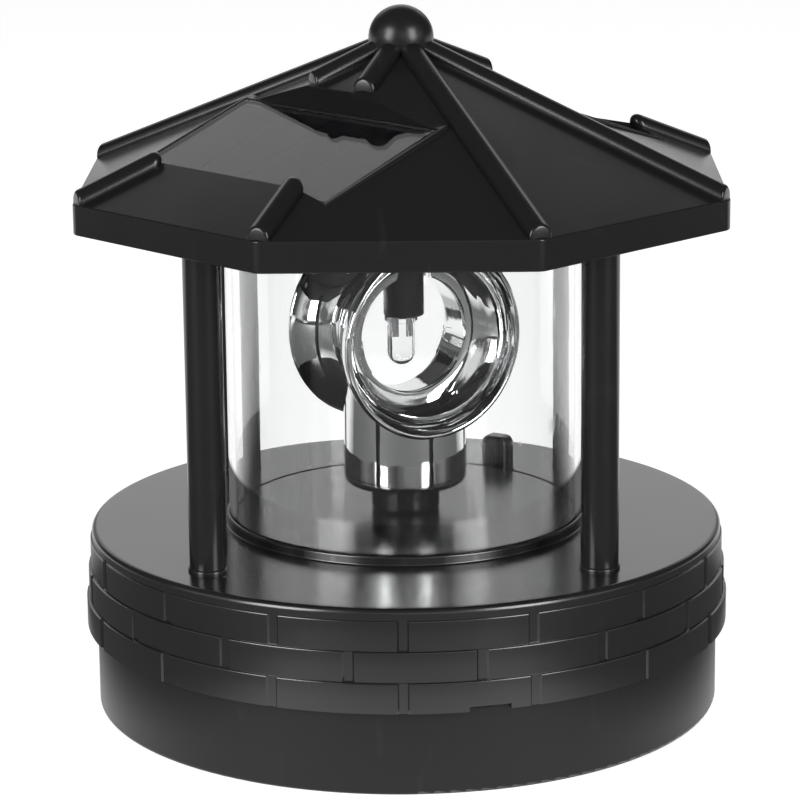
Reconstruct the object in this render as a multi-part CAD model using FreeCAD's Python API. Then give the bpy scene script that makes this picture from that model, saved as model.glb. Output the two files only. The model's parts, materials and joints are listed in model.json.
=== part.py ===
"""Garden lighthouse lantern: an eight-sided solar roof on four posts over a clear cylinder,
in which a double reflector turns round a hanging lamp, on a round brick-banded base.

Millimetres, +Z up, front towards -Y. The origin is the centre of the base's underside.
Bearings (degrees) run from the front (-Y) towards +X.
"""
import FreeCAD, Part

import math
import os

from FreeCAD import Vector as V

# --- fits and walls ---------------------------------------------------------------
SEAT = 0.05            # gap round a seated spigot, screw or gear bore
LOOSE = 0.15           # gap round a dropped-in part
RUN_GAP = 0.3          # gap to a part that moves past
WALL = 2.0             # moulded walls of roof, deck and base
EDGE_R = 0.5           # eased edges of small round parts
TIP_ROOM = 0.5         # between a screw's tip and the end of its hole

# --- base -------------------------------------------------------------------------
SKIRT_R = 55.7
SKIRT_H = 14.95
SKIRT_EDGE_R = 0.8     # rounded bottom edge
COURSES = 3
COURSE_H = 5.25
COURSE_OUT = 0.9       # top course in front of the skirt
COURSE_STEP = 0.45     # each lower course stands out this much further
BRICKS = 16            # in one course
JOINT_W = 1.7
JOINT_DEPTH = 0.4
BAND_WALL = 1.8        # behind the joints
NOTCH_SINK = 0.3       # of the notch behind the skirt's face
COURSE_SHIFT = 13.3    # bearing of the middle course's first joint
LIP_H = 2.0
LIP_IN = 0.3           # deck's lip behind the top course
LIP_EDGE_R = 1.0
SPIGOT_WALL = 1.6      # collar of the base cup that enters the band
SPIGOT_H = 5.0
SPIGOT_ROOT = 3.0
NOTCH_W = 7.2          # prising notch under the band
NOTCH_H = 0.9
NOTCH_BEARING = 14.5
FLOOR = 2.4
CASE_BOSS_IN = 9.7     # case bosses' circle inside the skirt's face

COURSE_R = SKIRT_R + COURSE_OUT
CASE_BOSS_OUT = SKIRT_R - CASE_BOSS_IN
LIP_R = COURSE_R - LIP_IN
DECK_Z = SKIRT_H + COURSES * COURSE_H + LIP_H
DECK_UNDER = DECK_Z - WALL
BAND_IN_R = COURSE_R - JOINT_DEPTH - BAND_WALL
BAND_OUT_R = COURSE_R + (COURSES - 1) * COURSE_STEP

# --- clear cylinder and posts -----------------------------------------------------
GLASS_R = 31.6
GLASS_WALL = 1.2
GLASS_SINK = 0.8       # depth of its groove in the plinth and in the ceiling
PLINTH_OVER = 0.5      # low round plinth on the deck, outside the cylinder that it carries
PLINTH_H = 1.75
PLINTH_EDGE_R = 0.4
CEILING_RIM_H = 1.6    # rim under the ceiling, round the cylinder's top
POST_IN = 8.6          # posts' circle inside the skirt's face
POST_R = 3.25
POST_BORE_R = 1.75
POST_FOOT_R = 3.5
POST_FOOT_H = 0.6
POST_SPIGOT_R = 2.5
POST_SPIGOT_H = 1.6
POST_BEARINGS = {"front_left": -45, "front_right": 45, "back_right": 135, "back_left": -135}
POST_CIRCLE_R = SKIRT_R - POST_IN
PLINTH_R = GLASS_R + PLINTH_OVER
PLINTH_TOP = DECK_Z + PLINTH_H
PLINTH_UNDER = DECK_UNDER + PLINTH_H
PLINTH_IN_R = GLASS_R - GLASS_WALL - WALL

# --- roof -------------------------------------------------------------------------
SIDES = 8
EAVE_OUT = 13.2        # fascia's corners outside the posts' circle
EAVE_Z = 88.96
FASCIA_H = 5.32
FASCIA_WALL = 1.8
CORNER_R = 1.2
APEX_RISE = 24.67      # fascia top to the point where the ridges meet
RIB_R = 2.0
RIB_START = 3.5        # from the axis, inside the ball
BALL_R = 5.69
CEILING_SINK = 0.65    # ceiling plate above the fascia's lower edge
CEILING_T = 2.0

EAVE_R = POST_CIRCLE_R + EAVE_OUT
FASCIA_TOP = EAVE_Z + FASCIA_H
APEX_Z = FASCIA_TOP + APEX_RISE
HALF_SIDE = math.pi / SIDES
CORNER_BEARINGS = [math.degrees(HALF_SIDE * (2 * i + 1)) - 180 for i in range(SIDES)]
APOTHEM = EAVE_R * math.cos(HALF_SIDE)
FACE_SLOPE = APEX_RISE / APOTHEM
ROOF_DROP = WALL * math.hypot(1, FACE_SLOPE)
CEILING_Z = EAVE_Z + CEILING_SINK
CEILING_TOP = CEILING_Z + CEILING_T
CEILING_APOTHEM = APOTHEM - FASCIA_WALL - LOOSE

# --- solar panels -----------------------------------------------------------------
PANEL_W = 47.6
PANEL_D = 27.2
PANEL_SLOPE = 18.5
PANEL_IN = 27.71       # centre of the panel's top face inside the roof's edge
PANEL_RISE = 8.82      # and above the fascia
BOARD_T = 1.2
RESIN_T = 1.2
CELL_T = 0.3
CELLS = 4
CELL_GAP = 0.6
CELL_MARGIN = 1.6
TRAY_RIM = 0.6
TRAY_BACK = 1.6
TRAY_FLOOR = 1.4
WIRE_HOLE_R = 1.6
PANEL_BEARINGS = {"front": -45, "back": 135}
PANEL_OUT = APOTHEM - PANEL_IN
PANEL_Z = FASCIA_TOP + PANEL_RISE

# --- reflector --------------------------------------------------------------------
REFLECTOR_BEARING = 31.0
BOWL_Z = 66.8
BOWL_OUT = 11.0        # rim plane from the axis
BOWL_R = 17.6          # outer radius of the rim
THROAT_R = 10.4        # bore through both bowls
THROAT_OUT = 3.6       # half length of the straight throat
BOWL_WALL = 1.0
STEM_R = 10.95
STEM_WALL = 1.5
STEM_EDGE_R = 1.6
STEM_FLOOR = 4.5
LAMP_HOLE_GAP = 1.4    # round the lamp holder, through the top of the throat

# --- spindle, bush and gears ------------------------------------------------------
PEDESTAL_R = 6.05
PEDESTAL_H = 4.45
DRIVE_SPIGOT_R = 4.0
DRIVE_SPIGOT_H = 3.6
SHAFT_R = 2.5
BUSH_R = 4.0
BUSH_FLANGE_R = 5.6
BUSH_FLANGE_T = 1.0
BUSH_H = 6.35
MODULE = 0.5
OUTPUT_TEETH = 48
IDLER_SMALL_TEETH = 12
IDLER_LARGE_TEETH = 40
PINION_TEETH = 10
GEAR_T = 2.0
DEDENDUM = 1.25 * MODULE
ROOT_SHARE = 0.31      # half a tooth's width at its root, in pitches
TIP_SHARE = 0.13
GEAR_BEARING = -120.0  # the train runs to the back left of the axis
ARBOR_R = 0.8
ARBOR_STUB = 1.0       # of the arbor above the idler
MOTOR_R = 10.0
MOTOR_H = 12.4
MOTOR_CAP_H = 2.2
MOTOR_CAP_IN = 0.4     # cap's side inside the can's
MOTOR_SHAFT_R = 1.0
MOTOR_SCREW_OUT = 6.0
TERMINAL_OUT = 2.0     # terminals either side of the motor's middle
TERMINAL_W = 1.6
TERMINAL_L = 1.6
TERMINAL_T = 1.2
TERMINAL_TIP = MOTOR_R + TERMINAL_L
PLATE_T = 2.0
PLATE_Z = 17.0
PLATE_MARGIN = 4.6
PILLAR_R = 2.6
PILLAR_SIDE = 16.4     # pillars either side of the spindle
PILLAR_END = 40.0      # pillar beyond the motor

PEDESTAL_Z = PLINTH_TOP + RUN_GAP
HUB_Z = PEDESTAL_Z + PEDESTAL_H
PLATE_TOP = PLATE_Z + PLATE_T
LARGE_GEAR_Z = PLATE_TOP + RUN_GAP
OUTPUT_GEAR_Z = LARGE_GEAR_Z + GEAR_T + RUN_GAP
IDLER_OUT = MODULE * (OUTPUT_TEETH + IDLER_SMALL_TEETH) / 2
PINION_OUT = IDLER_OUT + MODULE * (IDLER_LARGE_TEETH + PINION_TEETH) / 2

# --- lamp -------------------------------------------------------------------------
HOLDER_R = 3.58
HOLDER_BORE_R = 2.6
HOLDER_MOUTH_Z = 69.7
HOLDER_FLANGE_R = 6.0
HOLDER_FLANGE_T = 1.2
LED_R = 2.5
LED_FLANGE_R = 2.95
LED_FLANGE_T = 1.0
LED_LENGTH = 9.0
LED_OFFSET = -0.5      # the lamp sits a little to the left in its holder
LEG_R = 0.3
LEG_SPACING = 2.54
LEG_SINK = 0.6         # of the legs into the lamp's body
ANVIL_R = 0.7          # lead frame's cup and its bond post, inside the body
BOND_POST_R = 0.4
ANVIL_H = 3.2
ANVIL_OUT = 0.95
LED_TOP_Z = HOLDER_MOUTH_Z - SEAT

# --- switch -----------------------------------------------------------------------
BUTTON_BEARING = 150.0
BUTTON_GAP = 3.7       # from the cylinder's face to the button's middle
BUTTON_W = 5.7
BUTTON_D = 5.0
BUTTON_H = 6.85
BUTTON_EDGE_R = 1.6
BUTTON_TOP_R = 1.5
BUTTON_NUB_R = 0.6     # small grip nub on the left flank
BUTTON_TRAVEL = 1.6
BUTTON_FLANGE_T = 1.3
BUTTON_FLANGE_OVER = 0.8
PLUNGER_R = 1.2
PLUNGER_L = 5.0
SWITCH_SIZE = 8.0
SWITCH_H = 8.5
SWITCH_CLIP_T = 1.2
SWITCH_CLIP_GRIP = 2.4

BUTTON_OUT = GLASS_R + BUTTON_GAP
BUTTON_FLANGE_TOP = DECK_UNDER - RUN_GAP
SWITCH_TOP = BUTTON_FLANGE_TOP - BUTTON_FLANGE_T - BUTTON_TRAVEL - RUN_GAP

# --- battery and its bay ----------------------------------------------------------
CELL_R = 7.1
CELL_L = 49.2
NUB_R = 2.7
NUB_L = 1.3
BAY_IN = 16.0          # bay's middle inside the case bosses' circle
BAY_WALL = 1.6
BAY_H = 8.0
CONTACT_T = 0.5
CONTACT_W = 9.0
CONTACT_H = 13.5
DIMPLE_R = 2.5
DIMPLE_L = 1.2
BAY_CONTACT_Z = 0.6    # contacts above the battery's lowest side
COVER_T = 1.4
COVER_LEDGE = 1.8
COVER_INSET = 0.2      # cover's outer face above the ground
COVER_CORNER_R = 1.5
TAB_L = 8.5
TAB_W = 8.0

BAY_Y = -(CASE_BOSS_OUT - BAY_IN)
BAY_HALF_W = CELL_R + RUN_GAP
BAY_HALF_L = (CELL_L + NUB_L + DIMPLE_L) / 2 + CONTACT_T
BATTERY_Z = COVER_INSET + COVER_T + RUN_GAP + CELL_R

# --- circuit board ----------------------------------------------------------------
PCB_IN = 18.0          # board's middle inside the case bosses' circle
PCB_L = 25.0
PCB_W = 23.0
PCB_T = 1.6
PCB_Z = 7.0
PCB_SCREW_IN = 3.0     # screws from the board's edges
CHIP = (5.0, 4.0, 1.6)
CHIP_PLACE = V(-3.0, -4.0, 0)
COIL_R = 3.0
COIL_H = 4.0
COIL_PLACE = V(5.0, -5.0, 0)
CAPACITOR_R = 2.5
CAPACITOR_H = 7.0
CAPACITOR_PLACE = V(-6.0, 4.0, 0)
PCB_X = CASE_BOSS_OUT - PCB_IN

# --- screws -----------------------------------------------------------------------
SCREW_R = 1.3
SCREW_HEAD_R = 2.5
SCREW_HEAD_H = 1.6
SMALL_SCREW_R = 0.9
SMALL_HEAD_R = 1.7
SMALL_HEAD_H = 1.1
BOSS_WALL = 1.9
CASE_BOSS_SPLIT_Z = 12.0
CASE_BOSS_FOOT = 0.5   # above the ground
CASE_SCREW_L = 14.0
CASE_SCREW_SEAT = 4.0
ROOF_BOSS_IN = 9.76    # roof bosses inside the ceiling plate's edge
ROOF_SCREW_L = 6.0
POST_SCREW_L = 8.0
PLATE_SCREW_L = 7.0
MOTOR_SCREW_L = 4.0
PCB_SCREW_L = 4.0
COVER_SCREW_L = 6.0
BOSS_BEARINGS = (0, 90, 180, -90)
ROOF_BOSS_OUT = CEILING_APOTHEM - ROOF_BOSS_IN

# --- wires ------------------------------------------------------------------------
WIRE_R = 0.45
WIRE_PITCH = 1.4       # between the two wires of a pair
WIRE_BEND_R = 2.5
LOW_LEVEL = CEILING_TOP + 1.2    # runs over the ceiling plate
HIGH_LEVEL = CEILING_TOP + 2.5
LEAD_L = 2.0           # straight below a panel's tray, then LEAD_RUN on to the level
LEAD_RUN = 4.0
BORE_SHIFT = 0.65      # of each pair in the back right post's bore
BASE_RUN = 3.5         # runs over the base's floor
TURN_IN = 12.0         # runs turn this far in front of the back right post
PAD_Y = 9.5            # row of pads near the board's edge
PAD_DROP = 5.0
LED_WIRE_TOP = CEILING_TOP + 4.0
LED_WIRE_OVER = 6.0
PADS = {"back_panel": PCB_X + 2.0, "led": PCB_X - 2.5, "switch": PCB_X - 6.7, "battery_minus": PCB_X - 6.0,
        "battery_plus": PCB_X - 1.9, "front_panel": PCB_X - 10.5, "motor": PCB_X - 10.5}

os.makedirs("parts", exist_ok=True)


def save(name, *solids):
    shape = solids[0] if len(solids) == 1 else Part.makeCompound(list(solids))
    shape.exportStep(f"parts/{name}.step")


def polar(out, bearing, z=0.0):
    a = math.radians(bearing)
    return V(out * math.sin(a), -out * math.cos(a), z)


def turned(shape, bearing):
    return shape.rotated(V(0, 0, 0), V(0, 0, 1), bearing)


def disc(r, z0, z1, at=V(0, 0, 0)):
    return Part.makeCylinder(r, z1 - z0, V(at.x, at.y, z0))


def ring(r_out, r_in, z0, z1, at=V(0, 0, 0)):
    return disc(r_out, z0, z1, at).cut(disc(r_in, z0 - 1, z1 + 1, at))


def block(x0, x1, y0, y1, z0, z1):
    return Part.makeBox(x1 - x0, y1 - y0, z1 - z0, V(x0, y0, z0))


def slab(w, d, z0, z1, x=0.0, y=0.0):
    return block(x - w / 2, x + w / 2, y - d / 2, y + d / 2, z0, z1)


def joined(shapes):
    first, *rest = shapes
    return first.multiFuse(rest).removeSplitter() if rest else first


def minus(shape, tools):
    return shape.cut(Part.makeCompound(list(tools)))


def turning(points):
    """Solid of revolution about Z from (radius, height) points."""
    wire = Part.makePolygon([V(r, 0, z) for r, z in points + points[:1]])
    return Part.Face(wire).revolve(V(0, 0, 0), V(0, 0, 1), 360)


def rounded(shape, radius, chosen):
    return shape.makeFillet(radius, [e for e in shape.Edges if chosen(e)])


def ring_edge(z, r_least):
    """Picks the full circle at height z that is wider than r_least."""
    def chosen(e):
        c = e.Curve
        return (isinstance(c, Part.Circle) and abs(c.Center.z - z) < 1e-6 and c.Radius > r_least
                and abs(abs(c.Axis.z) - 1) < 1e-6)
    return chosen


def screw(head_r, head_h, shank_r, length, seat, up=True, at=V(0, 0, 0)):
    """Pan-head screw whose head's flat side lies at height seat; its shank points up or down."""
    s = 1 if up else -1
    z_head = seat - head_h if up else seat
    head = rounded(disc(head_r, z_head, z_head + head_h, at), head_h * 0.45,
                   ring_edge(seat - s * head_h, 0))
    slot_z = seat - s * head_h
    slot = slab(head_r * 2.2, head_h * 0.4, slot_z - head_h * 0.4, slot_z + head_h * 0.4, at.x, at.y)
    shank = disc(shank_r, min(seat, seat + s * length), max(seat, seat + s * length), at)
    return joined([head, shank]).cut(slot)


# --- octagonal roof ---------------------------------------------------------------
def octagon(apothem, z):
    r = apothem / math.cos(HALF_SIDE)
    return [polar(r, bearing, z) for bearing in CORNER_BEARINGS]


def prism(apothem, z0, z1):
    points = octagon(apothem, z0)
    return Part.Face(Part.makePolygon(points + points[:1])).extrude(V(0, 0, z1 - z0))


def pyramid(apothem, z_base, z_apex):
    base = octagon(apothem, z_base)
    tip = V(0, 0, z_apex)
    faces = [Part.Face(Part.makePolygon(base + base[:1]))]
    for i in range(SIDES):
        a, b = base[i], base[(i + 1) % SIDES]
        faces.append(Part.Face(Part.makePolygon([a, b, tip, a])))
    return Part.Solid(Part.Shell(faces))


def rib(bearing, r0, r1):
    """Half-sunk round ridge rib with rounded ends, between two distances from the axis."""
    a, b = (polar(r, bearing, APEX_Z - APEX_RISE * r / EAVE_R) for r in (r0, r1))
    run = (b - a).Length
    low, high = V(0, 0, -RIB_R), V(0, 0, run + RIB_R)
    slant = RIB_R * math.sqrt(0.5)
    edges = [Part.LineSegment(high, low).toShape(),
             Part.Arc(low, V(slant, 0, -slant), V(RIB_R, 0, 0)).toShape(),
             Part.LineSegment(V(RIB_R, 0, 0), V(RIB_R, 0, run)).toShape(),
             Part.Arc(V(RIB_R, 0, run), V(slant, 0, run + slant), high).toShape()]
    bar = Part.Face(Part.Wire(edges)).revolve(V(0, 0, 0), V(0, 0, 1), 360)
    bar.Placement = FreeCAD.Placement(a, FreeCAD.Rotation(V(0, 0, 1), b - a))
    return bar


def on_panel(shape, bearing):
    """Moves a shape from the panel's own axes (Y up the slope, top face at Z = 0) to the roof."""
    tilted = shape.rotated(V(0, 0, 0), V(1, 0, 0), PANEL_SLOPE)
    return turned(tilted.translated(V(0, -PANEL_OUT, PANEL_Z)), bearing)


def panel_reach(side):
    """How far from the axis the panel's upper (-1) or lower (+1) edge lies."""
    return PANEL_OUT + side * PANEL_D / 2 * math.cos(math.radians(PANEL_SLOPE))


def beside_panel(bearing):
    aside = [abs((bearing - b + 180) % 360 - 180) for b in PANEL_BEARINGS.values()]
    return min(aside) < 360 / SIDES


def roof_shell():
    body = joined([prism(APOTHEM, EAVE_Z, FASCIA_TOP), pyramid(APOTHEM, FASCIA_TOP, APEX_Z)])
    rim = prism(APOTHEM, EAVE_Z, APEX_Z)
    rim = rounded(rim, CORNER_R, lambda e: abs(e.Vertexes[0].Z - e.Vertexes[1].Z) > 1)
    body = body.common(rim)
    upper_end = panel_reach(-1) / math.cos(HALF_SIDE)
    lower_end = panel_reach(1) / math.cos(HALF_SIDE) + RIB_R
    eave_end = EAVE_R - RIB_R
    ribs = []
    for bearing in CORNER_BEARINGS:
        if beside_panel(bearing):
            ribs += [rib(bearing, RIB_START, upper_end), rib(bearing, lower_end, eave_end)]
        else:
            ribs.append(rib(bearing, RIB_START, eave_end))
    ball = Part.makeSphere(BALL_R, V(0, 0, APEX_Z))
    depth = BOARD_T + RESIN_T
    pocket_w = PANEL_W + 2 * LOOSE
    pocket_d = PANEL_D + 2 * LOOSE
    trays, pockets, keeps = [], [], []
    for bearing in PANEL_BEARINGS.values():
        half_w = pocket_w / 2 + TRAY_RIM
        y0 = -pocket_d / 2 - TRAY_RIM
        y1 = pocket_d / 2 + TRAY_BACK
        trays.append(on_panel(block(-half_w, half_w, y0, y1, -depth - TRAY_FLOOR, 0), bearing))
        keeps.append(on_panel(block(-half_w, half_w, y0, y1, -depth - TRAY_FLOOR, APEX_RISE), bearing))
        pocket = slab(pocket_w, pocket_d, -depth, APEX_RISE)
        hole = disc(WIRE_HOLE_R, -depth - TRAY_FLOOR - 1, 0)
        pockets.append(on_panel(pocket.fuse(hole), bearing))
    inner_apothem = APOTHEM - FASCIA_WALL
    inner_eave = APEX_Z - ROOF_DROP - FACE_SLOPE * inner_apothem
    hollow = joined([prism(inner_apothem, EAVE_Z - 1, inner_eave),
                     pyramid(inner_apothem, inner_eave, APEX_Z - ROOF_DROP)])
    hollow = minus(hollow, keeps)
    boss_r = SCREW_R + BOSS_WALL
    whole = body
    for piece in [ball] + ribs + trays:
        whole = whole.fuse(piece)
    whole = whole.removeSplitter().cut(hollow)
    bosses = []
    for b in BOSS_BEARINGS:
        tall = disc(boss_r, CEILING_TOP, APEX_Z, polar(ROOF_BOSS_OUT, b))
        bosses.append(tall.common(pyramid(APOTHEM, FASCIA_TOP, APEX_Z - ROOF_DROP / 2).fuse(
            prism(APOTHEM - FASCIA_WALL / 2, CEILING_TOP, FASCIA_TOP))))
    whole = joined([whole] + bosses)
    holes = [disc(SCREW_R + SEAT, CEILING_Z, CEILING_Z + ROOF_SCREW_L + TIP_ROOM,
                  polar(ROOF_BOSS_OUT, b)) for b in BOSS_BEARINGS]
    return minus(whole, holes + pockets)


def ceiling_plate():
    plate = prism(CEILING_APOTHEM, CEILING_Z, CEILING_TOP)
    seat_r = GLASS_R + SEAT
    plate = joined([plate, ring(seat_r + WALL, seat_r, CEILING_Z - CEILING_RIM_H, CEILING_Z)])
    cuts = [ring(GLASS_R + SEAT, GLASS_R - GLASS_WALL - SEAT, CEILING_Z - 1, CEILING_Z + GLASS_SINK)]
    cuts.append(disc(HOLDER_R + SEAT, CEILING_Z - 1, CEILING_TOP + 1))
    for bearing in POST_BEARINGS.values():
        cuts.append(disc(POST_SPIGOT_R + SEAT, CEILING_Z - 1, CEILING_TOP + 1,
                         polar(POST_CIRCLE_R, bearing)))
    for bearing in BOSS_BEARINGS:
        cuts.append(disc(SCREW_R + LOOSE, CEILING_Z - 1, CEILING_TOP + 1, polar(ROOF_BOSS_OUT, bearing)))
    return minus(plate, cuts)


def roof_screws():
    return [screw(SCREW_HEAD_R, SCREW_HEAD_H, SCREW_R, ROOF_SCREW_L, CEILING_Z, True,
                  polar(ROOF_BOSS_OUT, b)) for b in BOSS_BEARINGS]


# --- solar panels -----------------------------------------------------------------
def cell_strips():
    pitch = (PANEL_W - 2 * CELL_MARGIN + CELL_GAP) / CELLS
    first = -PANEL_W / 2 + CELL_MARGIN
    return [block(first + i * pitch, first + (i + 1) * pitch - CELL_GAP,
                  -PANEL_D / 2 + CELL_MARGIN, PANEL_D / 2 - CELL_MARGIN, -RESIN_T, -RESIN_T + CELL_T)
            for i in range(CELLS)]


def save_panels():
    for name, bearing in PANEL_BEARINGS.items():
        board = slab(PANEL_W, PANEL_D, -RESIN_T - BOARD_T, -RESIN_T)
        cells = cell_strips()
        resin = minus(slab(PANEL_W, PANEL_D, -RESIN_T, 0), cells)
        save(f"{name}_panel_board", on_panel(board, bearing))
        save(f"{name}_panel_cells", *[on_panel(c, bearing) for c in cells])
        save(f"{name}_panel_resin", on_panel(resin, bearing))


# --- posts and clear cylinder -----------------------------------------------------
def post(bearing):
    at = polar(POST_CIRCLE_R, bearing)
    foot = rounded(disc(POST_FOOT_R, DECK_Z, DECK_Z + POST_FOOT_H, at), (POST_FOOT_R - POST_R) * 0.9,
                   ring_edge(DECK_Z + POST_FOOT_H, 0))
    whole = joined([disc(POST_R, DECK_Z, CEILING_Z, at), foot,
                    disc(POST_SPIGOT_R, DECK_Z - POST_SPIGOT_H, CEILING_Z + POST_SPIGOT_H, at)])
    if "back" in post_name(bearing):
        return whole.cut(disc(POST_BORE_R, DECK_Z - WALL - 1, CEILING_TOP + 1, at))
    hole_l = POST_SCREW_L + SEAT
    holes = [disc(SCREW_R + SEAT, DECK_UNDER - 1, DECK_UNDER + hole_l, at),
             disc(SCREW_R + SEAT, CEILING_TOP - hole_l, CEILING_TOP + 1, at)]
    return minus(whole, holes)


def post_name(bearing):
    return next(name for name, b in POST_BEARINGS.items() if b == bearing)


def post_screws():
    """Front posts only: one screw up through the deck, one down through the ceiling plate."""
    screws = []
    for name, bearing in POST_BEARINGS.items():
        if "front" in name:
            at = polar(POST_CIRCLE_R, bearing)
            head = (POST_SPIGOT_R + BOSS_WALL / 2, SCREW_HEAD_H, SCREW_R, POST_SCREW_L)
            screws += [screw(*head, DECK_UNDER, True, at), screw(*head, CEILING_TOP, False, at)]
    return screws


def clear_cylinder():
    return ring(GLASS_R, GLASS_R - GLASS_WALL, PLINTH_TOP - GLASS_SINK + SEAT, CEILING_Z + GLASS_SINK - SEAT)


# --- deck with its brick band -----------------------------------------------------
def brick_joints():
    cuts = []
    for course in range(COURSES):
        top = SKIRT_H + (COURSES - course) * COURSE_H
        r = COURSE_R + course * COURSE_STEP
        shift = COURSE_SHIFT if course % 2 else 0.0
        slot = block(-JOINT_W / 2, JOINT_W / 2, -r - 1, -r + JOINT_DEPTH, top - COURSE_H, top)
        cuts += [turned(slot, shift + i * 360 / BRICKS) for i in range(BRICKS)]
    return cuts


def gear_place(out, side=0.0):
    """A point at a distance along the gear train's line, and to one side of it."""
    return polar(out, GEAR_BEARING) + polar(side, GEAR_BEARING + 90)


PILLARS = [gear_place(0, PILLAR_SIDE), gear_place(0, -PILLAR_SIDE), gear_place(PILLAR_END)]


def switch_clips():
    """Two blades under the deck that grip the switch case."""
    half = SWITCH_SIZE / 2
    low = SWITCH_TOP - SWITCH_CLIP_GRIP
    blades = []
    for s in (-1, 1):
        x0, x1 = sorted((s * half, s * (half + SWITCH_CLIP_T)))
        blades.append(turned(block(x0, x1, -BUTTON_OUT - half, -BUTTON_OUT + half, low, DECK_UNDER),
                             BUTTON_BEARING))
    return blades


def deck_housing():
    steps = []
    for course in range(COURSES):
        top = SKIRT_H + (COURSES - course) * COURSE_H
        r = COURSE_R + course * COURSE_STEP
        steps += [(r, top), (r, top - COURSE_H)]
    lip_z = SKIRT_H + COURSES * COURSE_H
    top = [(0, PLINTH_TOP), (PLINTH_R, PLINTH_TOP), (PLINTH_R, DECK_Z), (LIP_R, DECK_Z), (LIP_R, lip_z)]
    under = [(BAND_IN_R, SKIRT_H), (BAND_IN_R, DECK_UNDER), (PLINTH_IN_R, DECK_UNDER),
             (PLINTH_IN_R, PLINTH_UNDER), (0, PLINTH_UNDER)]
    shell = turning(top + steps + under)
    shell = rounded(shell, LIP_EDGE_R, ring_edge(DECK_Z, LIP_R - 1))
    shell = rounded(shell, PLINTH_EDGE_R, ring_edge(PLINTH_TOP, PLINTH_R - 1))
    boss_r = SCREW_R + BOSS_WALL
    bosses = [disc(boss_r, CASE_BOSS_SPLIT_Z, DECK_UNDER, polar(CASE_BOSS_OUT, b)) for b in BOSS_BEARINGS]
    pillars = [disc(PILLAR_R, PLATE_TOP, PLINTH_UNDER, p) for p in PILLARS]
    bush_boss = disc(BUSH_R + BOSS_WALL, PLINTH_TOP - BUSH_H + BUSH_FLANGE_T, PLINTH_UNDER)
    whole = joined([shell, bush_boss] + bosses + pillars + switch_clips())
    cuts = brick_joints()
    cuts.append(ring(GLASS_R + SEAT, GLASS_R - GLASS_WALL - SEAT, PLINTH_TOP - GLASS_SINK, PLINTH_TOP + 1))
    cuts.append(disc(BUSH_R + SEAT, 0, PLINTH_TOP + 1))
    screw_top = CASE_SCREW_SEAT + CASE_SCREW_L + TIP_ROOM
    cuts += [disc(SCREW_R + SEAT, CASE_BOSS_SPLIT_Z - 1, screw_top, polar(CASE_BOSS_OUT, b))
             for b in BOSS_BEARINGS]
    pilot_top = PLATE_Z + PLATE_SCREW_L + TIP_ROOM
    cuts += [disc(SMALL_SCREW_R + SEAT, PLATE_TOP - 1, pilot_top, p) for p in PILLARS]
    for name, bearing in POST_BEARINGS.items():
        at = polar(POST_CIRCLE_R, bearing)
        cuts.append(disc(POST_SPIGOT_R + SEAT, DECK_Z - POST_SPIGOT_H - SEAT, DECK_Z + 1, at))
        through = SCREW_R + LOOSE if "front" in name else POST_BORE_R
        cuts.append(disc(through, DECK_UNDER - 1, DECK_Z, at))
    cuts.append(button_plan(RUN_GAP, DECK_UNDER - 1, DECK_Z + 1))
    notch = block(-NOTCH_W / 2, NOTCH_W / 2, -BAND_OUT_R - 1, -SKIRT_R + NOTCH_SINK,
                  SKIRT_H - 1, SKIRT_H + NOTCH_H)
    cuts.append(turned(notch, NOTCH_BEARING))
    return minus(whole, cuts)


# --- base cup, battery cover and case screws --------------------------------------
def cover_outline(grow, z0, z1):
    """Battery cover with its screw tab, grown by a gap all round."""
    half_l = BAY_HALF_L + COVER_LEDGE
    half_w = BAY_HALF_W + COVER_LEDGE
    main = block(-half_l - grow, half_l + grow, BAY_Y - half_w - grow, BAY_Y + half_w + grow, z0, z1)
    tab = block(half_l, half_l + TAB_L + grow, BAY_Y - TAB_W / 2 - grow, BAY_Y + TAB_W / 2 + grow, z0, z1)

    def outer_corner(e):
        upright = abs(e.Vertexes[0].Z - e.Vertexes[-1].Z) > 1
        x, y = e.Vertexes[0].X, e.Vertexes[0].Y
        return upright and (x > half_l + TAB_L / 2 or abs(y - BAY_Y) > half_w - 0.5)
    return rounded(joined([main, tab]), COVER_CORNER_R, outer_corner)


def cover_screw_place():
    return V(BAY_HALF_L + COVER_LEDGE + TAB_L / 2, BAY_Y, 0)


PCB_BOSSES = [V(PCB_X + s * (PCB_L / 2 - PCB_SCREW_IN), s * (PCB_W / 2 - PCB_SCREW_IN), 0) for s in (-1, 1)]


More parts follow.
